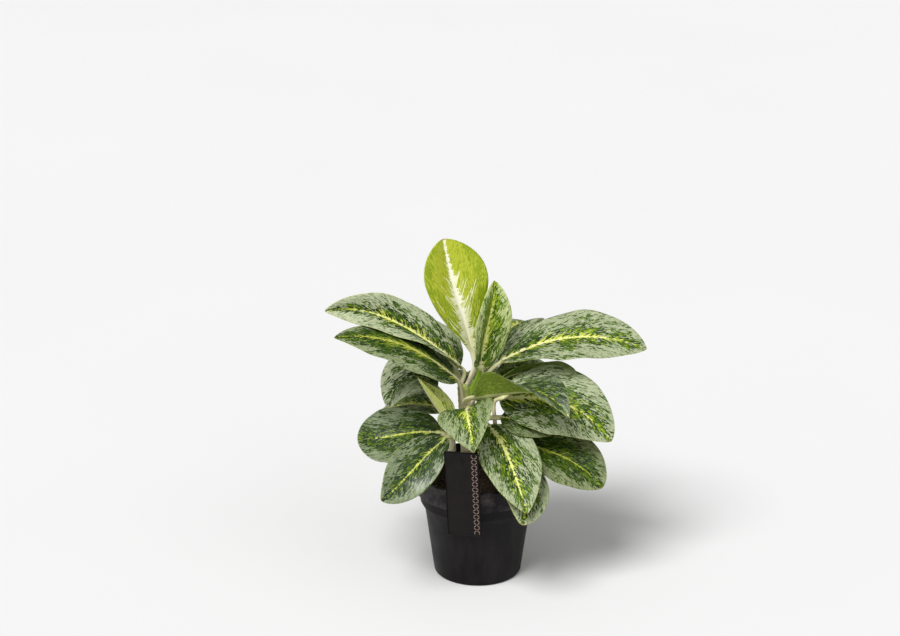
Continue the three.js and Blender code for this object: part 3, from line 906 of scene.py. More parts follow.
@dataclass(frozen=True)
class CardFinish:
    """Matt black printed card with one band of plain lozenges, drawn in bronze dashes."""

    black: Colour = Colour(0.007, 0.005, 0.005)
    rubbed: Colour = Colour(0.012, 0.009, 0.009)
    bronze: Colour = Colour(0.42, 0.3, 0.24)
    band: float = 11.6
    half_band: float = 3.4
    pitch: float = 6.4
    line: float = 0.3
    break_half: float = 0.65
    half_length: float = 46.0

    def paint(self) -> bpy.types.Material:
        """Print the band on the card, which stores card_place in millimetres.

        Returns:
            The card's material.
        """
        paint = Paint("label card")
        x, y, z = paint.parts(paint.stored("card_place"))
        fibre = paint.noise(paint.stored("card_place"), 1.1, 3.0)
        smear = paint.noise(paint.stored("card_place"), 0.07, 2.0)
        colour = paint.mix(paint.rise(smear, 0.35, 0.7), self.black, self.rubbed)
        inked = paint.rise(fibre, 0.3, 0.5, 0.6, 1.0)
        aside = paint.minus(x, self.band)
        down, over = (paint.times(self.pitch, paint.fold(value, self.pitch)) for value in (z, aside))
        off = paint.size(paint.minus(paint.plus(down, over), self.pitch / 2.0))
        for limit in (
            paint.rise(off, self.line, self.line + 0.2, 1.0, 0.0),
            paint.rise(paint.maths("MINIMUM", down, over), self.break_half - 0.2, self.break_half),
            paint.rise(paint.size(aside), self.half_band, self.half_band + 0.2, 1.0, 0.0),
            paint.rise(paint.size(z), self.half_length, self.half_length + 0.3, 1.0, 0.0),
            paint.rise(y, -0.2, -0.1, 1.0, 0.0),
        ):
            inked = paint.times(inked, limit)
        colour = paint.mix(inked, colour, self.bronze)
        gloss = paint.rise(smear, 0.3, 0.7, 0.45, 0.6)
        return paint.dress(colour, gloss, fibre, 0.03, Specular_IOR_Level=0.12)


@dataclass(frozen=True)
class FloorFinish:
    """Plain pale floor."""

    pale: Colour = Colour(0.84, 0.84, 0.84)
    dim: Colour = Colour(0.8, 0.8, 0.8)

    def paint(self) -> bpy.types.Material:
        """Return the floor's material."""
        paint = Paint("floor")
        return paint.dress(paint.mix(paint.noise(paint.place(), 1.5, 2.0), self.dim, self.pale), 0.8)


# ---------------------------------------------------------------- pieces


def finish_piece(piece: bpy.types.Object, material: bpy.types.Material,
                 nodes: Iterable[str] = (), flat_above: float | None = None) -> bpy.types.Object:
    """Shade a finished piece, dress it and let it ride with the plant.

    Args:
        piece: the finished object.
        material: the piece's material.
        nodes: the CAD nodes that it stands for.
        flat_above: the angle, in degrees, above which an edge stays sharp, or None for no sharp edge.

    Returns:
        The piece.
    """
    choose(piece)
    if flat_above is None:
        bpy.ops.object.shade_smooth()
    else:
        bpy.ops.object.shade_smooth_by_angle(angle=math.radians(flat_above))
    piece.data.materials.clear()
    piece.data.materials.append(material)
    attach(piece, BODY)
    names = list(nodes)
    if names:
        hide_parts(*names)
    LOG.info("%s: %d faces, for %s", piece.name, len(piece.data.polygons), names or "detail")
    return piece


@dataclass
class Pot:
    """Round thin-walled nursery pot with a rolled lip, a collar, two steps and drainage holes."""

    height: float = 106.0
    rim_radius: float = 62.0
    lip_height: float = 3.0
    lip_proud: float = 1.2
    lip_round: float = 0.7
    collar_height: float = 22.0
    collar_taper: float = 1.0
    step_in: float = 4.0
    step_drop: float = 0.6
    draft: float = 0.6
    shoulder_top: float = 74.0
    shoulder_bottom: float = 66.0
    shoulder_in: float = 4.5
    base_radius: float = 42.0
    foot_bevel: float = 1.5
    wall: float = 1.4
    floor: float = 2.0
    drain_holes: int = 8
    drain_radius: float = 4.5
    drain_circle: float = 29.0
    sides: int = 144
    edge_round: float = 0.45
    round_above: float = 24.0
    flat_above: float = 32.0

    def levels(self) -> dict[str, Pair]:
        """Work out the collar, the step and the shoulder.

        Returns:
            The radius and height of each.
        """
        bottom = self.height - self.collar_height
        collar = self.rim_radius - self.lip_proud
        step = collar - self.collar_taper - self.step_in
        return {
            "collar": (collar, self.height),
            "collar_foot": (collar - self.collar_taper, bottom + self.step_drop),
            "step": (step, bottom),
            "shoulder": (step - self.draft, self.shoulder_top),
            "shoulder_foot": (step - self.draft - self.shoulder_in, self.shoulder_bottom),
        }

    def outline(self) -> list[Pair]:
        """Run up the outside.

        Returns:
            The profile from the base to the lip.
        """
        level = self.levels()
        lip_bottom = self.height - self.lip_height
        return [
            (self.base_radius - self.foot_bevel, 0.0),
            (self.base_radius, self.foot_bevel),
            level["shoulder_foot"],
            level["shoulder"],
            level["step"],
            level["collar_foot"],
            (level["collar"][0], lip_bottom),
            (self.rim_radius - self.lip_round / 2.0, lip_bottom),
            (self.rim_radius, lip_bottom + self.lip_round),
            (self.rim_radius, self.height - self.lip_round),
            (self.rim_radius - self.lip_round, self.height),
        ]

    def inside(self) -> list[Pair]:
        """Run down the inside.

        Returns:
            The profile from the rim to the floor.
        """
        level = self.levels()
        return [
            (level["collar"][0] - self.wall, self.height),
            (level["collar_foot"][0] - self.wall, level["collar_foot"][1] + self.wall),
            (level["step"][0] - self.wall, level["step"][1] + self.wall),
            (level["shoulder"][0] - self.wall, level["shoulder"][1] + self.step_drop),
            (level["shoulder_foot"][0] - self.wall, level["shoulder_foot"][1] + self.step_drop),
            (self.base_radius - self.wall, self.floor),
        ]

    def drill(self, pot: bpy.types.Object) -> None:
        """Cut the drainage holes through the floor.

        Args:
            pot: the pot's object.
        """
        for i in range(self.drain_holes):
            angle = (i + 0.5) / self.drain_holes * 2.0 * math.pi
            deselect()
            bpy.ops.mesh.primitive_cylinder_add(
                vertices=32, radius=self.drain_radius * MM, depth=6.0 * self.floor * MM,
                location=(self.drain_circle * math.cos(angle) * MM,
                          self.drain_circle * math.sin(angle) * MM, self.floor / 2.0 * MM),
            )
            drill = named("drill")
            settle(drill)
            apply_modifier(pot, "BOOLEAN", operation="DIFFERENCE", object=drill, solver="EXACT")
            bpy.data.objects.remove(drill)

    def build(self) -> bpy.types.Object:
        """Turn the pot, round its edges and drill its floor.

        Returns:
            The finished pot.
        """
        pot = turned("pot.fine", self.outline() + self.inside(), self.sides)
        apply_modifier(pot, "BEVEL", width=self.edge_round * MM, segments=2, limit_method="ANGLE",
                       angle_limit=math.radians(self.round_above))
        self.drill(pot)
        return finish_piece(pot, PlasticFinish().paint(), ["pot"], self.flat_above)


@dataclass
class Soil:
    """Peat filling the pot, with an uneven crumbly top, loose crumbs and fibres.

    lumps and grains are waves of the surface, each a height and a rate to the millimetre. crumb_size
    and fibre_length are the least of them and what is added at most. The keeps are how far crumbs and
    fibres stay from the wall, stray is how far they leave their spiral, and tumble is how far each
    crumb is turned past the one before.
    """

    pot: Pot
    level: float = 95.0
    mound: float = 4.0
    gap: float = 0.3
    rings: int = 34
    sides: int = 120
    lumps: tuple[Pair, ...] = ((1.5, 0.06), (0.9, 0.2))
    grains: tuple[Pair, ...] = ((0.7, 0.55), (0.35, 1.3))
    crumbs: int = 420
    crumb_size: Pair = (0.7, 2.08)
    crumb_keep: float = 2.5
    stray: float = 1.6
    tumble: Triple = (1.3, 2.1, 0.7)
    fibres: int = 60
    fibre_length: Pair = (6.0, 10.0)
    fibre_radius: float = 0.28
    fibre_keep: float = 6.0
    seed: float = 4.1

    def top_radius(self) -> float:
        """Return the radius at which the soil meets the pot's wall."""
        return self.pot.levels()["collar"][0] - self.pot.wall - self.pot.collar_taper * 0.5 - self.gap

    def height_at(self, x: float, y: float) -> float:
        """Raise the mound, its lumps and its grains at a place.

        Args:
            x: the place to the right.
            y: the place towards the back.

        Returns:
            The height of the soil's surface.
        """
        share = clamp(math.hypot(x, y) / self.top_radius())
        lumps, grains = (
            sum(height * wander(x * rate, y * rate, self.seed) for height, rate in waves)
            for waves in (self.lumps, self.grains)
        )
        return self.level + self.mound * (1.0 - share**2) + lumps * lerp(1.0, 0.4, share) + grains

    def body(self) -> bpy.types.Object:
        """Fill the pot, from its floor to the uneven top.

        Returns:
            The filling.
        """
        inside = [(radius - self.gap, height + self.gap) for radius, height in self.pot.inside()[:0:-1]]
        radius = self.top_radius()
        rings = [(radius * (1.0 - i / self.rings), self.level) for i in range(self.rings)]
        soil = turned("soil.fine", inside + rings, self.sides)
        for vertex in soil.data.vertices:
            if vertex.co.z > (self.level - 0.01) * MM:
                x, y = vertex.co.x / MM, vertex.co.y / MM
                vertex.co.z = self.height_at(x, y) * MM
        return finish_piece(soil, SoilFinish().paint(), ["soil"])

    def spot(self, index: int, reach: float) -> tuple[float, float, float]:
        """Spread crumbs or fibres evenly in a sunflower's spiral.

        Args:
            index: the number of one of them.
            reach: the radius of the spiral.

        Returns:
            Its place on the soil.
        """
        turn = index * math.pi * (3.0 - math.sqrt(5.0))
        radius = reach * math.sqrt((index + 0.5) / (self.crumbs + 0.5))
        radius += self.stray * wander(index * 0.37, 2.0, 0.0)
        radius = clamp(radius, 0.0, reach)
        x, y = radius * math.cos(turn), radius * math.sin(turn)
        return x, y, self.height_at(x, y)

    def crumb_layer(self) -> bpy.types.Object:
        """Scatter loose crumbs and chips on the soil.

        Returns:
            The crumbs, as one piece.
        """
        deselect()
        parts = []
        for i in range(self.crumbs):
            x, y, z = self.spot(i, self.top_radius() - self.crumb_keep)
            size = self.crumb_size[0] + self.crumb_size[1] * abs(wander(i * 0.71, 5.0, 1.0))
            bpy.ops.mesh.primitive_ico_sphere_add(
                subdivisions=1, radius=size * MM, location=(x * MM, y * MM, (z + 0.2 * size) * MM),
                rotation=[i * turn for turn in self.tumble],
            )
            crumb = named("crumb")
            crumb.scale = (1.0, 0.75 + 0.5 * wander(i * 0.3, 1.0, 0.0), 0.7)
            parts.append(crumb)
        crumbs = joined(parts, "soil_crumbs")
        finish = SoilFinish(name="soil crumbs", brown=Colour(0.085, 0.042, 0.024), pale_from=0.62)
        return finish_piece(crumbs, finish.paint(), (), 40.0)

    def fibre_layer(self) -> bpy.types.Object:
        """Scatter short fibres and root ends on the soil.

        Returns:
            The fibres, as one piece.
        """
        deselect()
        parts = []
        for i in range(self.fibres):
            x, y, z = self.spot(i * 7 % self.crumbs, self.top_radius() - self.fibre_keep)
            length = self.fibre_length[0] + self.fibre_length[1] * abs(wander(i * 0.9, 3.0, 0.0))
            bpy.ops.mesh.primitive_cylinder_add(
                vertices=5, radius=self.fibre_radius * MM, depth=length * MM,
                location=(x * MM, y * MM, (z + 0.7) * MM),
                rotation=(math.pi / 2.0 + 0.2 * wander(i * 0.5, 0.0, 2.0), 0.0, i * 2.4),
            )
            parts.append(named("fibre"))
        fibres = joined(parts, "soil_fibres")
        finish = SoilFinish(name="soil fibres", dark=Colour(0.05, 0.028, 0.016),
                            brown=Colour(0.15, 0.085, 0.045), pale=Colour(0.3, 0.2, 0.12))
        return finish_piece(fibres, finish.paint(), (), 60.0)

    def build(self) -> list[bpy.types.Object]:
        """Return the soil, its crumbs and its fibres."""
        return [self.body(), self.crumb_layer(), self.fibre_layer()]


@dataclass(frozen=True)
class CaneShape:
    """One cane: foot and head of the part above the soil, and its radius at each."""

    node: str
    foot: Triple
    head: Triple
    radius: float
    head_radius: float

    def axis(self) -> Vector:
        """Return the direction in which the cane grows."""
        return (Vector(self.head) - Vector(self.foot)).normalized()

    def at(self, height: float) -> Vector:
        """Return the point of the cane's axis at a height."""
        axis = self.axis()
        return Vector(self.foot) + axis * ((height - self.foot[2]) / axis.z)

    def radius_at(self, height: float) -> float:
        """Return the cane's radius at a height."""
        return lerp(self.radius, self.head_radius,
                    clamp((height - self.foot[2]) / (self.head[2] - self.foot[2])))


@dataclass
class Cane:
    """A short tapering cane with rings where leaves were shed and a rounded head.

    swells is how far each row from one ring to the next stands proud. The head's sizes are shares of
    its radius: how wide it starts, how far below the cane's end, and how far it rises from there.
    """

    shape: CaneShape
    buried: float = 24.0
    pitch: float = 6.5
    swells: tuple[float, ...] = (0.35, 0.1, 0.0, 0.1)
    slimness: float = 0.985
    straight_below: float = 1.0
    head_rows: int = 5
    head_width: float = 0.97
    head_drop: float = 0.7
    head_rise: float = 1.1
    sides: int = 40
    flat_above: float = 50.0

    def build(self, material: bpy.types.Material) -> bpy.types.Object:
        """Turn the cane, and stand it along its axis.

        Args:
            material: the cane's material.

        Returns:
            The finished cane.
        """
        shape = self.shape
        length = (Vector(shape.head) - Vector(shape.foot)).length
        profile = [(shape.radius, -self.buried), (shape.radius, -self.straight_below)]
        steps = int(length / self.pitch * len(self.swells))
        for i in range(steps):
            radius = lerp(shape.radius, shape.head_radius, i / steps) * self.slimness
            swell = self.swells[i % len(self.swells)] - self.swells[0]
            profile.append((radius + swell, length * (i / steps)))
        for row in range(self.head_rows):
            angle = row / self.head_rows * math.pi / 2.0
            profile.append((shape.head_radius * math.cos(angle) * self.head_width,
                            length - shape.head_radius * self.head_drop
                            + shape.head_radius * math.sin(angle) * self.head_rise))
        cane = turned(f"{shape.node}.fine", profile, self.sides)
        cane.rotation_mode = "QUATERNION"
        cane.rotation_quaternion = UP.rotation_difference(shape.axis())
        cane.location = Vector(shape.foot) * MM
        settle(cane)
        return finish_piece(cane, material, [shape.node], self.flat_above)


# ---------------------------------------------------------------- leaves


@dataclass(frozen=True)
class LeafShape:
    """Where one leaf stands and how its blade is bent.

    The fields are: root, the height at which its stalk leaves the cane; neck and tip, the ends of the
    blade; arch and bow, how far the midrib's two control points lie above and beside the straight line;
    roll, in degrees at the neck and at the tip; width and widest; fold, the rise of each half in degrees;
    wave and ripples, the height and number of the waves of the margin; look, its finish; base, how
    slowly the blade widens from the stalk.
    """

    name: str
    cane: str
    root: float
    neck: Triple
    tip: Triple
    arch: Pair
    bow: Pair
    roll: Pair
    width: float
    widest: float
    fold: Pair
    wave: float
    ripples: int
    look: Look = Look.GROWN
    base: float = 0.62


@dataclass(frozen=True)
class Bend:
    """A cubic curve in space."""

    points: tuple[Vector, Vector, Vector, Vector]

    def at(self, share: float) -> Vector:
        """Go along the curve.

        Args:
            share: how far, as a share.

        Returns:
            The point there.
        """
        a, b, c, d = self.points
        rest = 1.0 - share
        return a * rest**3 + b * (3.0 * rest**2 * share) + c * (3.0 * rest * share**2) + d * share**3

    def forward(self, share: float) -> Vector:
        """Look along the curve.

        Args:
            share: how far along it, as a share.

        Returns:
            The direction there.
        """
        a, b, c, d = self.points
        rest = 1.0 - share
        return ((b - a) * rest**2 + (c - b) * (2.0 * rest * share) + (d - c) * share**2).normalized()


@dataclass
class Station:
    """A cross-section of a leaf: its place, its directions and its sizes."""

    place: Vector
    side: Vector
    upper: Vector
    half_width: float
    rib: float
    round: float
    fold: Pair
    ripple: float
    share: float
    along: float = 0.0


@dataclass
class Leaf:
    """A leaf as one closed skin: stalk, swollen midrib, arched halves, side veins and thin margin.

    A side vein climbs vein_climb along the leaf for each millimetre out from the midrib, and curls and
    wanders a little. vein_run is what its paint counts as its length for each of them. The blade is
    quilted between its veins, from nothing to full over quilt_from_rib and over quilt_from_edge. The
    stalk has no margin: far_margin is stored there.
    """

    shape: LeafShape
    cane: CaneShape
    seed: float
    around: int = 60
    stalk_rows: int = 16
    blade_rows: int = 76
    edge_half: float = 0.36
    rib_half: float = 1.7
    stalk_half_width: float = 2.6
    sheath_half_width: float = 3.8
    sheath_half: float = 2.0
    tip_half_width: float = 0.3
    root_depth: float = 0.5
    leaving: float = 0.55
    ease: float = 0.35
    opening: float = 0.12
    crown: float = 0.5
    rib_taper: float = 0.7
    rib_sharpness: float = 3.0
    rib_below: float = 0.6
    vein_pitch: float = 8.5
    vein_depth: float = 0.28
    vein_climb: float = 1.5
    vein_curl: float = 0.006
    vein_wander: float = 2.0
    vein_run: float = 1.3
    margin_from: float = 0.02
    far_margin: float = 9.0
    quilt_from_rib: Pair = (1.5, 8.0)
    quilt_from_edge: Pair = (0.5, 6.0)
    edge_share: float = 0.05
    groove_depth: float = 0.35
    groove_half: float = 1.6
    flutter: float = 0.5
    row_crowding: float = 0.6
    column_evenness: float = 0.45
    level: Vector = field(default_factory=Vector)

    def midrib(self) -> Bend:
        """Draw the blade's midrib, and keep the level direction across it.

        Returns:
            The midrib.
        """
        neck, tip = Vector(self.shape.neck), Vector(self.shape.tip)
        self.level = (tip - neck).cross(UP).normalized()
        arch, bow = self.shape.arch, self.shape.bow
        first = neck.lerp(tip, 1.0 / 3.0) + UP * arch[0] + self.level * bow[0]
        second = neck.lerp(tip, 2.0 / 3.0) + UP * arch[1] + self.level * bow[1]
        return Bend((neck, first, second, tip))

    def stalk(self, midrib: Bend) -> Bend:
        """Draw the stalk's middle line, from inside the cane to the neck.

        Args:
            midrib: the blade's midrib.

        Returns:
            The middle line.
        """
        neck = Vector(self.shape.neck)
        axis = self.cane.at(self.shape.root)
        outward = neck - axis
        outward.z = 0.0
        outward.normalize()
        root = axis + outward * (self.root_depth * self.cane.radius_at(self.shape.root))
        length = (neck - root).length
        leaving = (outward * self.leaving + UP).normalized()
        return Bend((root, root + leaving * (self.ease * length),
                     neck - midrib.forward(0.0) * (self.ease * length), neck))

    def directions(self, bend: Bend, share: float, roll: float) -> tuple[Vector, Vector, Vector]:
        """Find the leaf's directions at a share of a curve.

        Args:
            bend: the curve.
            share: where on it.
            roll: the turn about it, in degrees.

        Returns:
            The place, and the side and upper directions there.
        """
        forward = bend.forward(share)
        side = (self.level - forward * self.level.dot(forward)).normalized()
        side = Quaternion(forward, -math.radians(roll)) @ side
        return bend.at(share), side, side.cross(forward)

    def outline(self, share: float) -> float:
        """Widen the blade from the neck, and narrow it to the tip.

        Args:
            share: the share of the blade's length.

        Returns:
            The share of its half width.
        """
        widest, base = self.shape.widest, self.shape.base
        tip_power = base * (1.0 - widest) / widest
        return (share / widest) ** base * ((1.0 - share) / (1.0 - widest)) ** tip_power

    def stations(self) -> list[Station]:
        """Cut the leaf across in rows, from the stalk's root to the tip.

        Returns:
            The cross-sections.
        """
        shape = self.shape
        midrib = self.midrib()
        stalk = self.stalk(midrib)
        rows: list[Station] = []
        for i in range(self.stalk_rows):
            share = i / self.stalk_rows
            place, side, upper = self.directions(stalk, share, shape.roll[0] * share)
            rows.append(Station(place, side, upper,
                                lerp(self.sheath_half_width, self.stalk_half_width, share),
                                lerp(self.sheath_half, self.rib_half, share), 1.0, (0.0, 0.0), 0.0,
                                share - 1.0))
        for i in range(self.blade_rows + 1):
            even = i / self.blade_rows
            share = lerp(even, (1.0 - math.cos(math.pi * even)) / 2.0, self.row_crowding)
            place, side, upper = self.directions(midrib, share, lerp(*shape.roll, share))
            blade = shape.width / 2.0 * self.outline(share)
            least = lerp(self.stalk_half_width, self.tip_half_width, share)
            opening = min(share / self.opening, 1.0)
            fold = (math.radians(shape.fold[0]) * opening, math.radians(shape.fold[1]) * opening)
            ripple = (shape.wave * math.sin(2.0 * math.pi * shape.ripples * share + shape.width)
                      * math.sin(math.pi * share))
            rows.append(Station(place, side, upper, max(blade, least),
                                lerp(self.rib_half, self.edge_half, share**self.rib_taper),
                                1.0 - opening, fold, ripple, share))
        for before, row in zip(rows, rows[1:]):
            row.along = before.along + (row.place - before.place).length
        neck = rows[self.stalk_rows].along
        for row in rows:
            row.along -= neck
        return rows

    def vein(self, row: Station, across: float) -> Triple:
        """Follow the side vein through a point back to the midrib.

        Args:
            row: the cross-section.
            across: from -1 to 1, from margin to margin.

        Returns:
            Where the vein starts, how far out the point lies, and its distance to the margin.
        """
        away = abs(across) * row.half_width
        start = row.along - self.vein_climb * away - self.vein_curl * away**2
        start += self.vein_wander * wander(start * 0.05, self.seed, 0.0)
        margin = row.half_width - away if row.share > self.margin_from else self.far_margin
        return start, math.copysign(self.vein_run * away, across), margin

    def point(self, row: Station, across: float, face: float) -> Vector:
        """Place a point of the skin.

        Args:
            row: the cross-section.
            across: from -1 to 1, from margin to margin.
            face: 1 on top and -1 below.

        Returns:
            The point, in millimetres.
        """
        angle = row.fold[0] if across < 0.0 else row.fold[1]
        reach = abs(across)
        lift = row.half_width * math.sin(angle) * ((1.0 + self.crown) * reach - self.crown * reach**2)
        keel = (1.0 - reach) ** self.rib_sharpness
        rod = math.sqrt(max(0.0, 1.0 - reach**2))
        edge = self.edge_half * math.sqrt(clamp((1.0 - reach) / self.edge_share))
        swell = (row.rib - self.edge_half) * lerp(keel, rod, row.round)
        thickness = edge + swell
        sunk = swell * (1.0 - row.round) * self.rib_below
        lean = -math.copysign(1.0, across) * math.sin(angle) * face * thickness if across else 0.0
        start, _, margin = self.vein(row, across)
        away = reach * row.half_width
        flat = 1.0 - row.round
        quilt = math.cos(2.0 * math.pi * start / self.vein_pitch)
        quilt *= self.vein_depth * smooth(away, *self.quilt_from_rib) * smooth(margin, *self.quilt_from_edge)
        quilt *= flat
        groove = -self.groove_depth * math.exp(-((away / self.groove_half) ** 2)) if face > 0.0 else 0.0
        flutter = self.flutter * wander(row.along * 0.09, self.seed, across) * reach**4
        flutter *= smooth(row.share, 0.02, 0.2)
        offset = lift + row.ripple * reach**2 - sunk + math.cos(angle) * face * thickness
        offset += quilt + groove * flat + flutter
        return (row.place + row.side * (across * row.half_width * math.cos(angle) + lean)
                + row.upper * offset)

    def build(self, material: bpy.types.Material, slot: str) -> bpy.types.Object:
        """Bend a grid round the leaf's cross-sections, and close it.

        Args:
            material: the leaf's material.
            slot: not used.

        Returns:
            The finished leaf.
        """
        rows = self.stations()
        deselect()
        last_row, half = len(rows) - 1, self.around // 2
        bpy.ops.mesh.primitive_grid_add(x_subdivisions=self.around, y_subdivisions=last_row, size=2.0)
        leaf = named(f"{self.shape.name}.fine")
        stored: dict[str, list[Triple]] = {"blade_place": [], "blade_share": [], "blade_vein": []}
        for vertex in leaf.data.vertices:
            column = round((vertex.co.x + 1.0) / 2.0 * self.around)
            row = rows[round((vertex.co.y + 1.0) / 2.0 * last_row)]
            top = column <= half
            step = column / half if top else (self.around - column) / half
            across = -math.cos(math.pi * step)
            across = lerp(across, 2.0 * step - 1.0, self.column_evenness)
            closed = row is rows[0] or row is rows[-1]
            vertex.co = (row.place if closed else self.point(row, across, 1.0 if top else -1.0)) * MM
            stored["blade_place"].append((across * row.half_width, row.along, self.seed))
            stored["blade_share"].append((across, row.share, 0.0 if top else 1.0))
            stored["blade_vein"].append(self.vein(row, across))
        for name, values in stored.items():
            store_places(leaf, name, values)
        close_skin(leaf)
        return finish_piece(leaf, material, [self.shape.name])


CANES = {
    "main": CaneShape("cane_main", (-8, 7, 95), (-14, 3, 188), 7.5, 6.0),
    "left": CaneShape("cane_left", (-25, -9, 95), (-26, -13, 150), 5.5, 4.4),
    "right": CaneShape("cane_right", (17, -8, 95), (14, -11, 152), 5.5, 4.4),
}

LEAVES = (
    LeafShape("leaf_top_upright", "main", 185, (-3.5, 13, 211), (-33, 33.5, 324), (13, -4), (-7.5, -4),
              (33, 29), 70, 0.67, (22, 10), 0.8, 2, Look.LIME, 1.3),
    LeafShape("leaf_top_folded", "main", 177, (1, 2, 204), (15, 24, 286), (5, -1), (-3, 5),
              (-75, -54), 50, 0.44, (31, 10), 0.8, 2, Look.FRESH),
    LeafShape("leaf_upper_left", "main", 181, (-15, 4, 205), (-143, -5, 265.5), (18, 29), (1, 4),
              (-10, 64), 46, 0.45, (14, 50), 1.2, 3, Look.SILVER),
    LeafShape("leaf_upper_left_lower", "main", 171, (-20, -8, 198), (-133, -38, 251.4), (27, 20), (-12, 0),
              (22, 22), 60, 0.41, (-4, -8), 1.2, 3, Look.DENSE),
    LeafShape("leaf_upper_right", "main", 166, (21, 9, 209.5), (158, 2, 225.5), (19, 24), (-17, 0),
              (-5, -37), 66, 0.45, (9, 3), 1.2, 3, Look.MOTTLED),
    LeafShape("leaf_front_folded", "main", 158, (-4, -27, 188), (82, -76, 187), (6, 27), (-11, -17),
              (56, -24), 68, 0.37, (24, 20), 1.0, 2, Look.HOODED),
    LeafShape("leaf_right_wide", "right", 146, (20, -1, 177), (124, -37, 148), (16, 34), (1, -2),
              (-38, -39), 70, 0.48, (12, -1), 1.2, 3),
    LeafShape("leaf_front_right", "right", 138, (9, -25, 159), (44, -97, 102), (8, 7), (-7, -1),
              (-1, -10), 59, 0.43, (10, 7), 1.0, 3),
    LeafShape("leaf_front_right_lower", "right", 118, (21, -18, 131), (39, -92, 88), (2, 9), (-3, -18),
              (22, 4), 54, 0.49, (11, 14), 1.0, 2),
    LeafShape("leaf_right_low", "right", 124, (34, -7, 138), (116, -45, 104), (4, 20), (2, -1),
              (-1, -42), 62, 0.5, (12, 2), 1.0, 3, Look.SHADED),
    LeafShape("leaf_right_under", "main", 149, (17, 9, 191), (94, 34, 190), (10, 10), (0, 0),
              (30, 40), 36, 0.46, (8, 8), 1.0, 2, Look.SHADED),
    LeafShape("leaf_middle_dark", "main", 144, (21, -15, 163), (70, -32, 154), (5, 5), (0, 0),
              (-26, -30), 38, 0.46, (8, 4), 0.6, 2, Look.SHADED),
    LeafShape("leaf_left_wide", "left", 134, (-34, -14, 146), (-114, -21, 144), (8, -5), (2, 2),
              (28, 29), 64, 0.54, (-3, 7), 1.0, 3, Look.GREY),
    LeafShape("leaf_front_left", "left", 115, (-29, -28, 148), (-90, -84, 109), (2, -4), (4, -1),
              (3, 60), 48, 0.47, (13, 14), 1.0, 3, Look.GREY),
    LeafShape("leaf_front_saddle", "main", 133, (-10, -26, 177), (-5, -85, 157), (12, 16), (4, 2),
              (-14, -24), 57, 0.4, (16, 12), 1.0, 2, Look.MIDDLE),
    LeafShape("leaf_left_behind", "left", 135, (-39, 20, 179), (-86, 21, 158), (20, 32), (0, 2),
              (22, 44), 66, 0.48, (32, 13), 1.0, 2, Look.MUTED),
    LeafShape("leaf_left_young", "left", 140, (-26, -15, 155), (-57, -6, 200), (-2, -3), (-1, -2),
              (16, 6), 32, 0.38, (60, 36), 0.4, 2, Look.ROLLED),
    LeafShape("leaf_back_right", "main", 159, (4, 28, 195), (61, 122, 205), (26, 28), (0, 0),
              (6, 12), 60, 0.44, (12, 12), 1.2, 3),
    LeafShape("leaf_back_left", "main", 163, (-21, 19, 197), (-86, 100, 212), (24, 24), (0, 0),
              (-6, -14), 58, 0.44, (12, 12), 1.2, 3),
    LeafShape("leaf_back_middle", "main", 147, (-4, 30, 176), (-14, 122, 142), (16, 24), (0, 0),
              (4, -4), 60, 0.46, (10, 10), 1.2, 3),
    LeafShape("leaf_side_right", "main", 138, (17, 18, 178), (98, 70, 158), (16, 24), (0, 2),
              (-8, -14), 60, 0.46, (10, 8), 1.2, 3),
    LeafShape("leaf_side_left", "main", 140, (-30, 20, 156), (-103, 66, 126), (12, 20), (0, 0),
              (8, 12), 58, 0.46, (10, 10), 1.0, 3),
    LeafShape("leaf_low_back_right", "right", 110, (34, 8, 130), (92, 62, 92), (8, 18), (0, 0),
              (-6, -10), 54, 0.46, (10, 8), 1.0, 2, Look.SHADED),
    LeafShape("leaf_low_back_left", "main", 116, (-14, 30, 128), (-42, 98, 94), (8, 16), (0, 0),
              (4, 6), 54, 0.46, (10, 10), 1.0, 2, Look.SHADED),
)


@dataclass
class Foliage:
    """The canes and leaves."""

    seed_step: float = 17.3
    new_leaves: tuple[str, ...] = ("leaf_top_upright", "leaf_top_folded", "leaf_left_young")

    def build(self) -> list[bpy.types.Object]:
        """Grow the canes and their leaves.

        Returns:
            The canes and leaves.
        """
        bark = CaneFinish().paint()
        pieces = [Cane(shape).build(bark) for shape in CANES.values()]
        coats = {look: look.value.paint() for look in Look}
        for index, shape in enumerate(LEAVES):
            leaf = Leaf(shape, CANES[shape.cane], self.seed_step * (index + 1))
            slot = "leaf_new" if shape.name in self.new_leaves else "leaf_grown"
            pieces.append(leaf.build(coats[shape.look], slot))
        return pieces


# ---------------------------------------------------------------- label


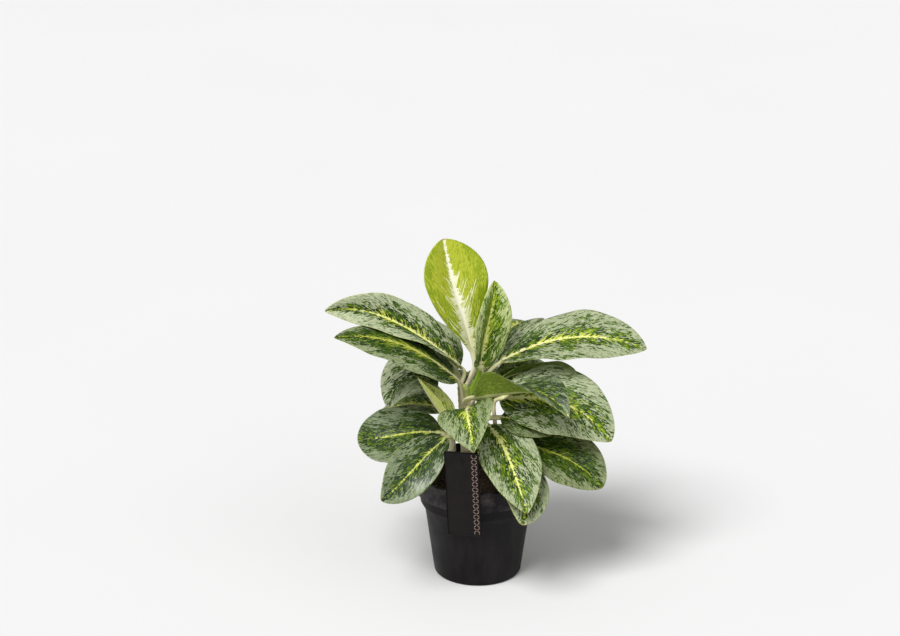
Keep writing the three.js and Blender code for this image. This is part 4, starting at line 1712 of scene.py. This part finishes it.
@dataclass
class Label:
    """Thin upright card with a small slot, hooked over the pot's rim.

    plain_place is what the hook stores for its paint: a place beyond the card's printed band.
    """

    width: float = 32.0
    height: float = 97.0
    thickness: float = 0.7
    corner: float = 1.2
    middle: Triple = (-14.5, -66.3, 107.5)
    yaw: float = 10.0
    lean: float = 14.0
    slot_width: float = 2.0
    slot_length: float = 6.0
    slot_below_top: float = 8.0
    hook_width: float = 9.0
    hook_reach: float = 10.5
    hook_drop: float = 8.0
    rim_height: float = 106.3
    hook_thickness: float = 0.8
    punch_depth: float = 4.0
    slot_round: float = 0.9
    card_round: float = 0.12
    hook_round: float = 0.2
    round_above: float = 50.0
    flat_above: float = 40.0
    plain_place: Triple = (30.0, 5.0, 0.0)

    def block(self, name: str, size: Triple, middle: Triple) -> bpy.types.Object:
        """Add a block.

        Args:
            name: its name.
            size: its size, in millimetres.
            middle: its middle, in millimetres.

        Returns:
            The block.
        """
        deselect()
        bpy.ops.mesh.primitive_cube_add(size=1.0, location=Vector(middle) * MM)
        piece = named(name)
        piece.scale = Vector(size) * MM
        settle(piece)
        return piece

    def soften(self, piece: bpy.types.Object, width: float) -> None:
        """Round a piece's sharp edges by a width in millimetres."""
        apply_modifier(piece, "BEVEL", width=width * MM, segments=2, limit_method="ANGLE",
                       angle_limit=math.radians(self.round_above))

    def card(self) -> bpy.types.Object:
        """Cut the card's corners and slot, and lean it back.

        Returns:
            The card, facing -Y.
        """
        card = self.block("label.fine", (self.width, self.thickness, self.height),
                          (0.0, -self.thickness / 2.0, 0.0))
        bpy.ops.object.mode_set(mode="EDIT")
        bpy.ops.mesh.select_all(action="DESELECT")
        bpy.ops.object.mode_set(mode="OBJECT")
        for edge in card.data.edges:
            ends = [card.data.vertices[i].co for i in edge.vertices]
            edge.select = abs(ends[0].y - ends[1].y) > self.thickness * MM * 0.5
        bpy.ops.object.mode_set(mode="EDIT")
        bpy.ops.mesh.select_mode(type="EDGE")
        bpy.ops.mesh.bevel(offset=self.corner * MM, segments=6)
        bpy.ops.object.mode_set(mode="OBJECT")
        top = self.height / 2.0 - self.slot_below_top
        punch = self.block("punch", (self.slot_width, self.punch_depth, self.slot_length),
                           (0.0, 0.0, top - self.slot_length / 2.0))
        apply_modifier(punch, "BEVEL", width=self.slot_round * MM, segments=4)
        apply_modifier(card, "BOOLEAN", operation="DIFFERENCE", object=punch, solver="EXACT")
        bpy.data.objects.remove(punch)
        self.soften(card, self.card_round)
        store_places(card, "card_place", [tuple(vertex.co / MM) for vertex in card.data.vertices])
        card.rotation_euler = (math.radians(self.lean), 0.0, 0.0)
        settle(card)
        return card

    def hook(self) -> bpy.types.Object:
        """Bend a strip from the card over the rim and down inside it.

        Returns:
            The strip.
        """
        over = self.rim_height - self.middle[2]
        strip = self.hook_thickness
        bar = self.block("hook", (self.hook_width, self.hook_reach + strip * 1.5, strip),
                         (0.0, (self.hook_reach + strip * 0.5) / 2.0, over + strip / 2.0))
        leg = self.block("leg", (self.hook_width, strip, self.hook_drop),
                         (0.0, self.hook_reach + strip / 2.0, over - self.hook_drop / 2.0 + strip * 0.2))
        apply_modifier(bar, "BOOLEAN", operation="UNION", object=leg, solver="EXACT")
        bpy.data.objects.remove(leg)
        self.soften(bar, self.hook_round)
        store_places(bar, "card_place", [self.plain_place] * len(bar.data.vertices))
        return bar

    def build(self) -> bpy.types.Object:
        """Join card and hook, and hang them on the rim.

        Returns:
            The finished label.
        """
        card, hook = self.card(), self.hook()
        label = choose(card, hook)
        bpy.ops.object.join()
        label.rotation_euler = (0.0, 0.0, -math.radians(self.yaw))
        label.location = Vector(self.middle) * MM
        settle(label)
        return finish_piece(label, CardFinish().paint(), ["label"], self.flat_above)


# ---------------------------------------------------------------- studio


@dataclass
class Studio:
    """Plain pale floor, soft lights and the camera.

    Each light has a name, a place, how wide it looks from the plant, in degrees, and its strength.
    """

    camera_place: Triple = (-0.0267, -1.759, 0.8765)
    camera_pitch: float = 70.6
    lens: float = 80.0
    sensor: float = 36.0
    floor_size: float = 30.0
    sky: float = 0.3
    lights: tuple[tuple[str, Triple, float, float], ...] = (
        ("key", (-0.75, -1.1, 2.0), 30.0, 2.9),
        ("fill", (1.6, -1.4, 1.3), 60.0, 0.5),
    )

    def floor(self) -> None:
        """Lay the floor."""
        deselect()
        bpy.ops.mesh.primitive_plane_add(size=self.floor_size, location=(0.0, 0.0, 0.0))
        floor = named("floor")
        settle(floor)
        floor.data.materials.append(FloorFinish().paint())

    def camera(self) -> None:
        """Place the camera."""
        data = bpy.data.cameras.new("camera")
        data.lens = self.lens
        data.sensor_width = self.sensor
        data.sensor_fit = "HORIZONTAL"
        data.clip_end = 60.0
        camera = bpy.data.objects.new("camera", data)
        camera.location = self.camera_place
        camera.rotation_euler = (math.radians(self.camera_pitch), 0.0, 0.0)
        bpy.context.scene.collection.objects.link(camera)
        bpy.context.scene.camera = camera

    def light(self, name: str, place: Triple, spread: float, strength: float) -> None:
        """Hang one wide, even light far away.

        Args:
            name: the light's name.
            place: where it hangs; it faces the plant from there.
            spread: how wide it looks from the plant, in degrees.
            strength: the light that it throws, in watts on each square metre.
        """
        data = bpy.data.lights.new(name, "SUN")
        data.angle = math.radians(spread)
        data.energy = strength
        light = bpy.data.objects.new(name, data)
        light.location = place
        light.rotation_euler = Vector(place).to_track_quat("Z", "Y").to_euler()
        bpy.context.scene.collection.objects.link(light)

    def build(self) -> None:
        """Set up the floor, the camera and the lights."""
        self.floor()
        self.camera()
        world = bpy.data.worlds.new("studio")
        world.use_nodes = True
        sky = world.node_tree.nodes["Background"]
        sky.inputs["Color"].default_value = (1.0, 1.0, 1.0, 1.0)
        sky.inputs["Strength"].default_value = self.sky
        bpy.context.scene.world = world
        for light in self.lights:
            self.light(*light)
        bpy.context.scene.view_settings.view_transform = "Standard"


def main() -> None:
    """Build every sub-assembly in order."""
    logging.basicConfig(level=logging.INFO, format="%(name)s: %(message)s")
    Studio().build()
    pot = Pot()
    pieces = [pot.build(), *Soil(pot).build(), *Foliage().build(), Label().build()]
    LOG.info("%d pieces", len(pieces))


if __name__ == "__main__":
    main()
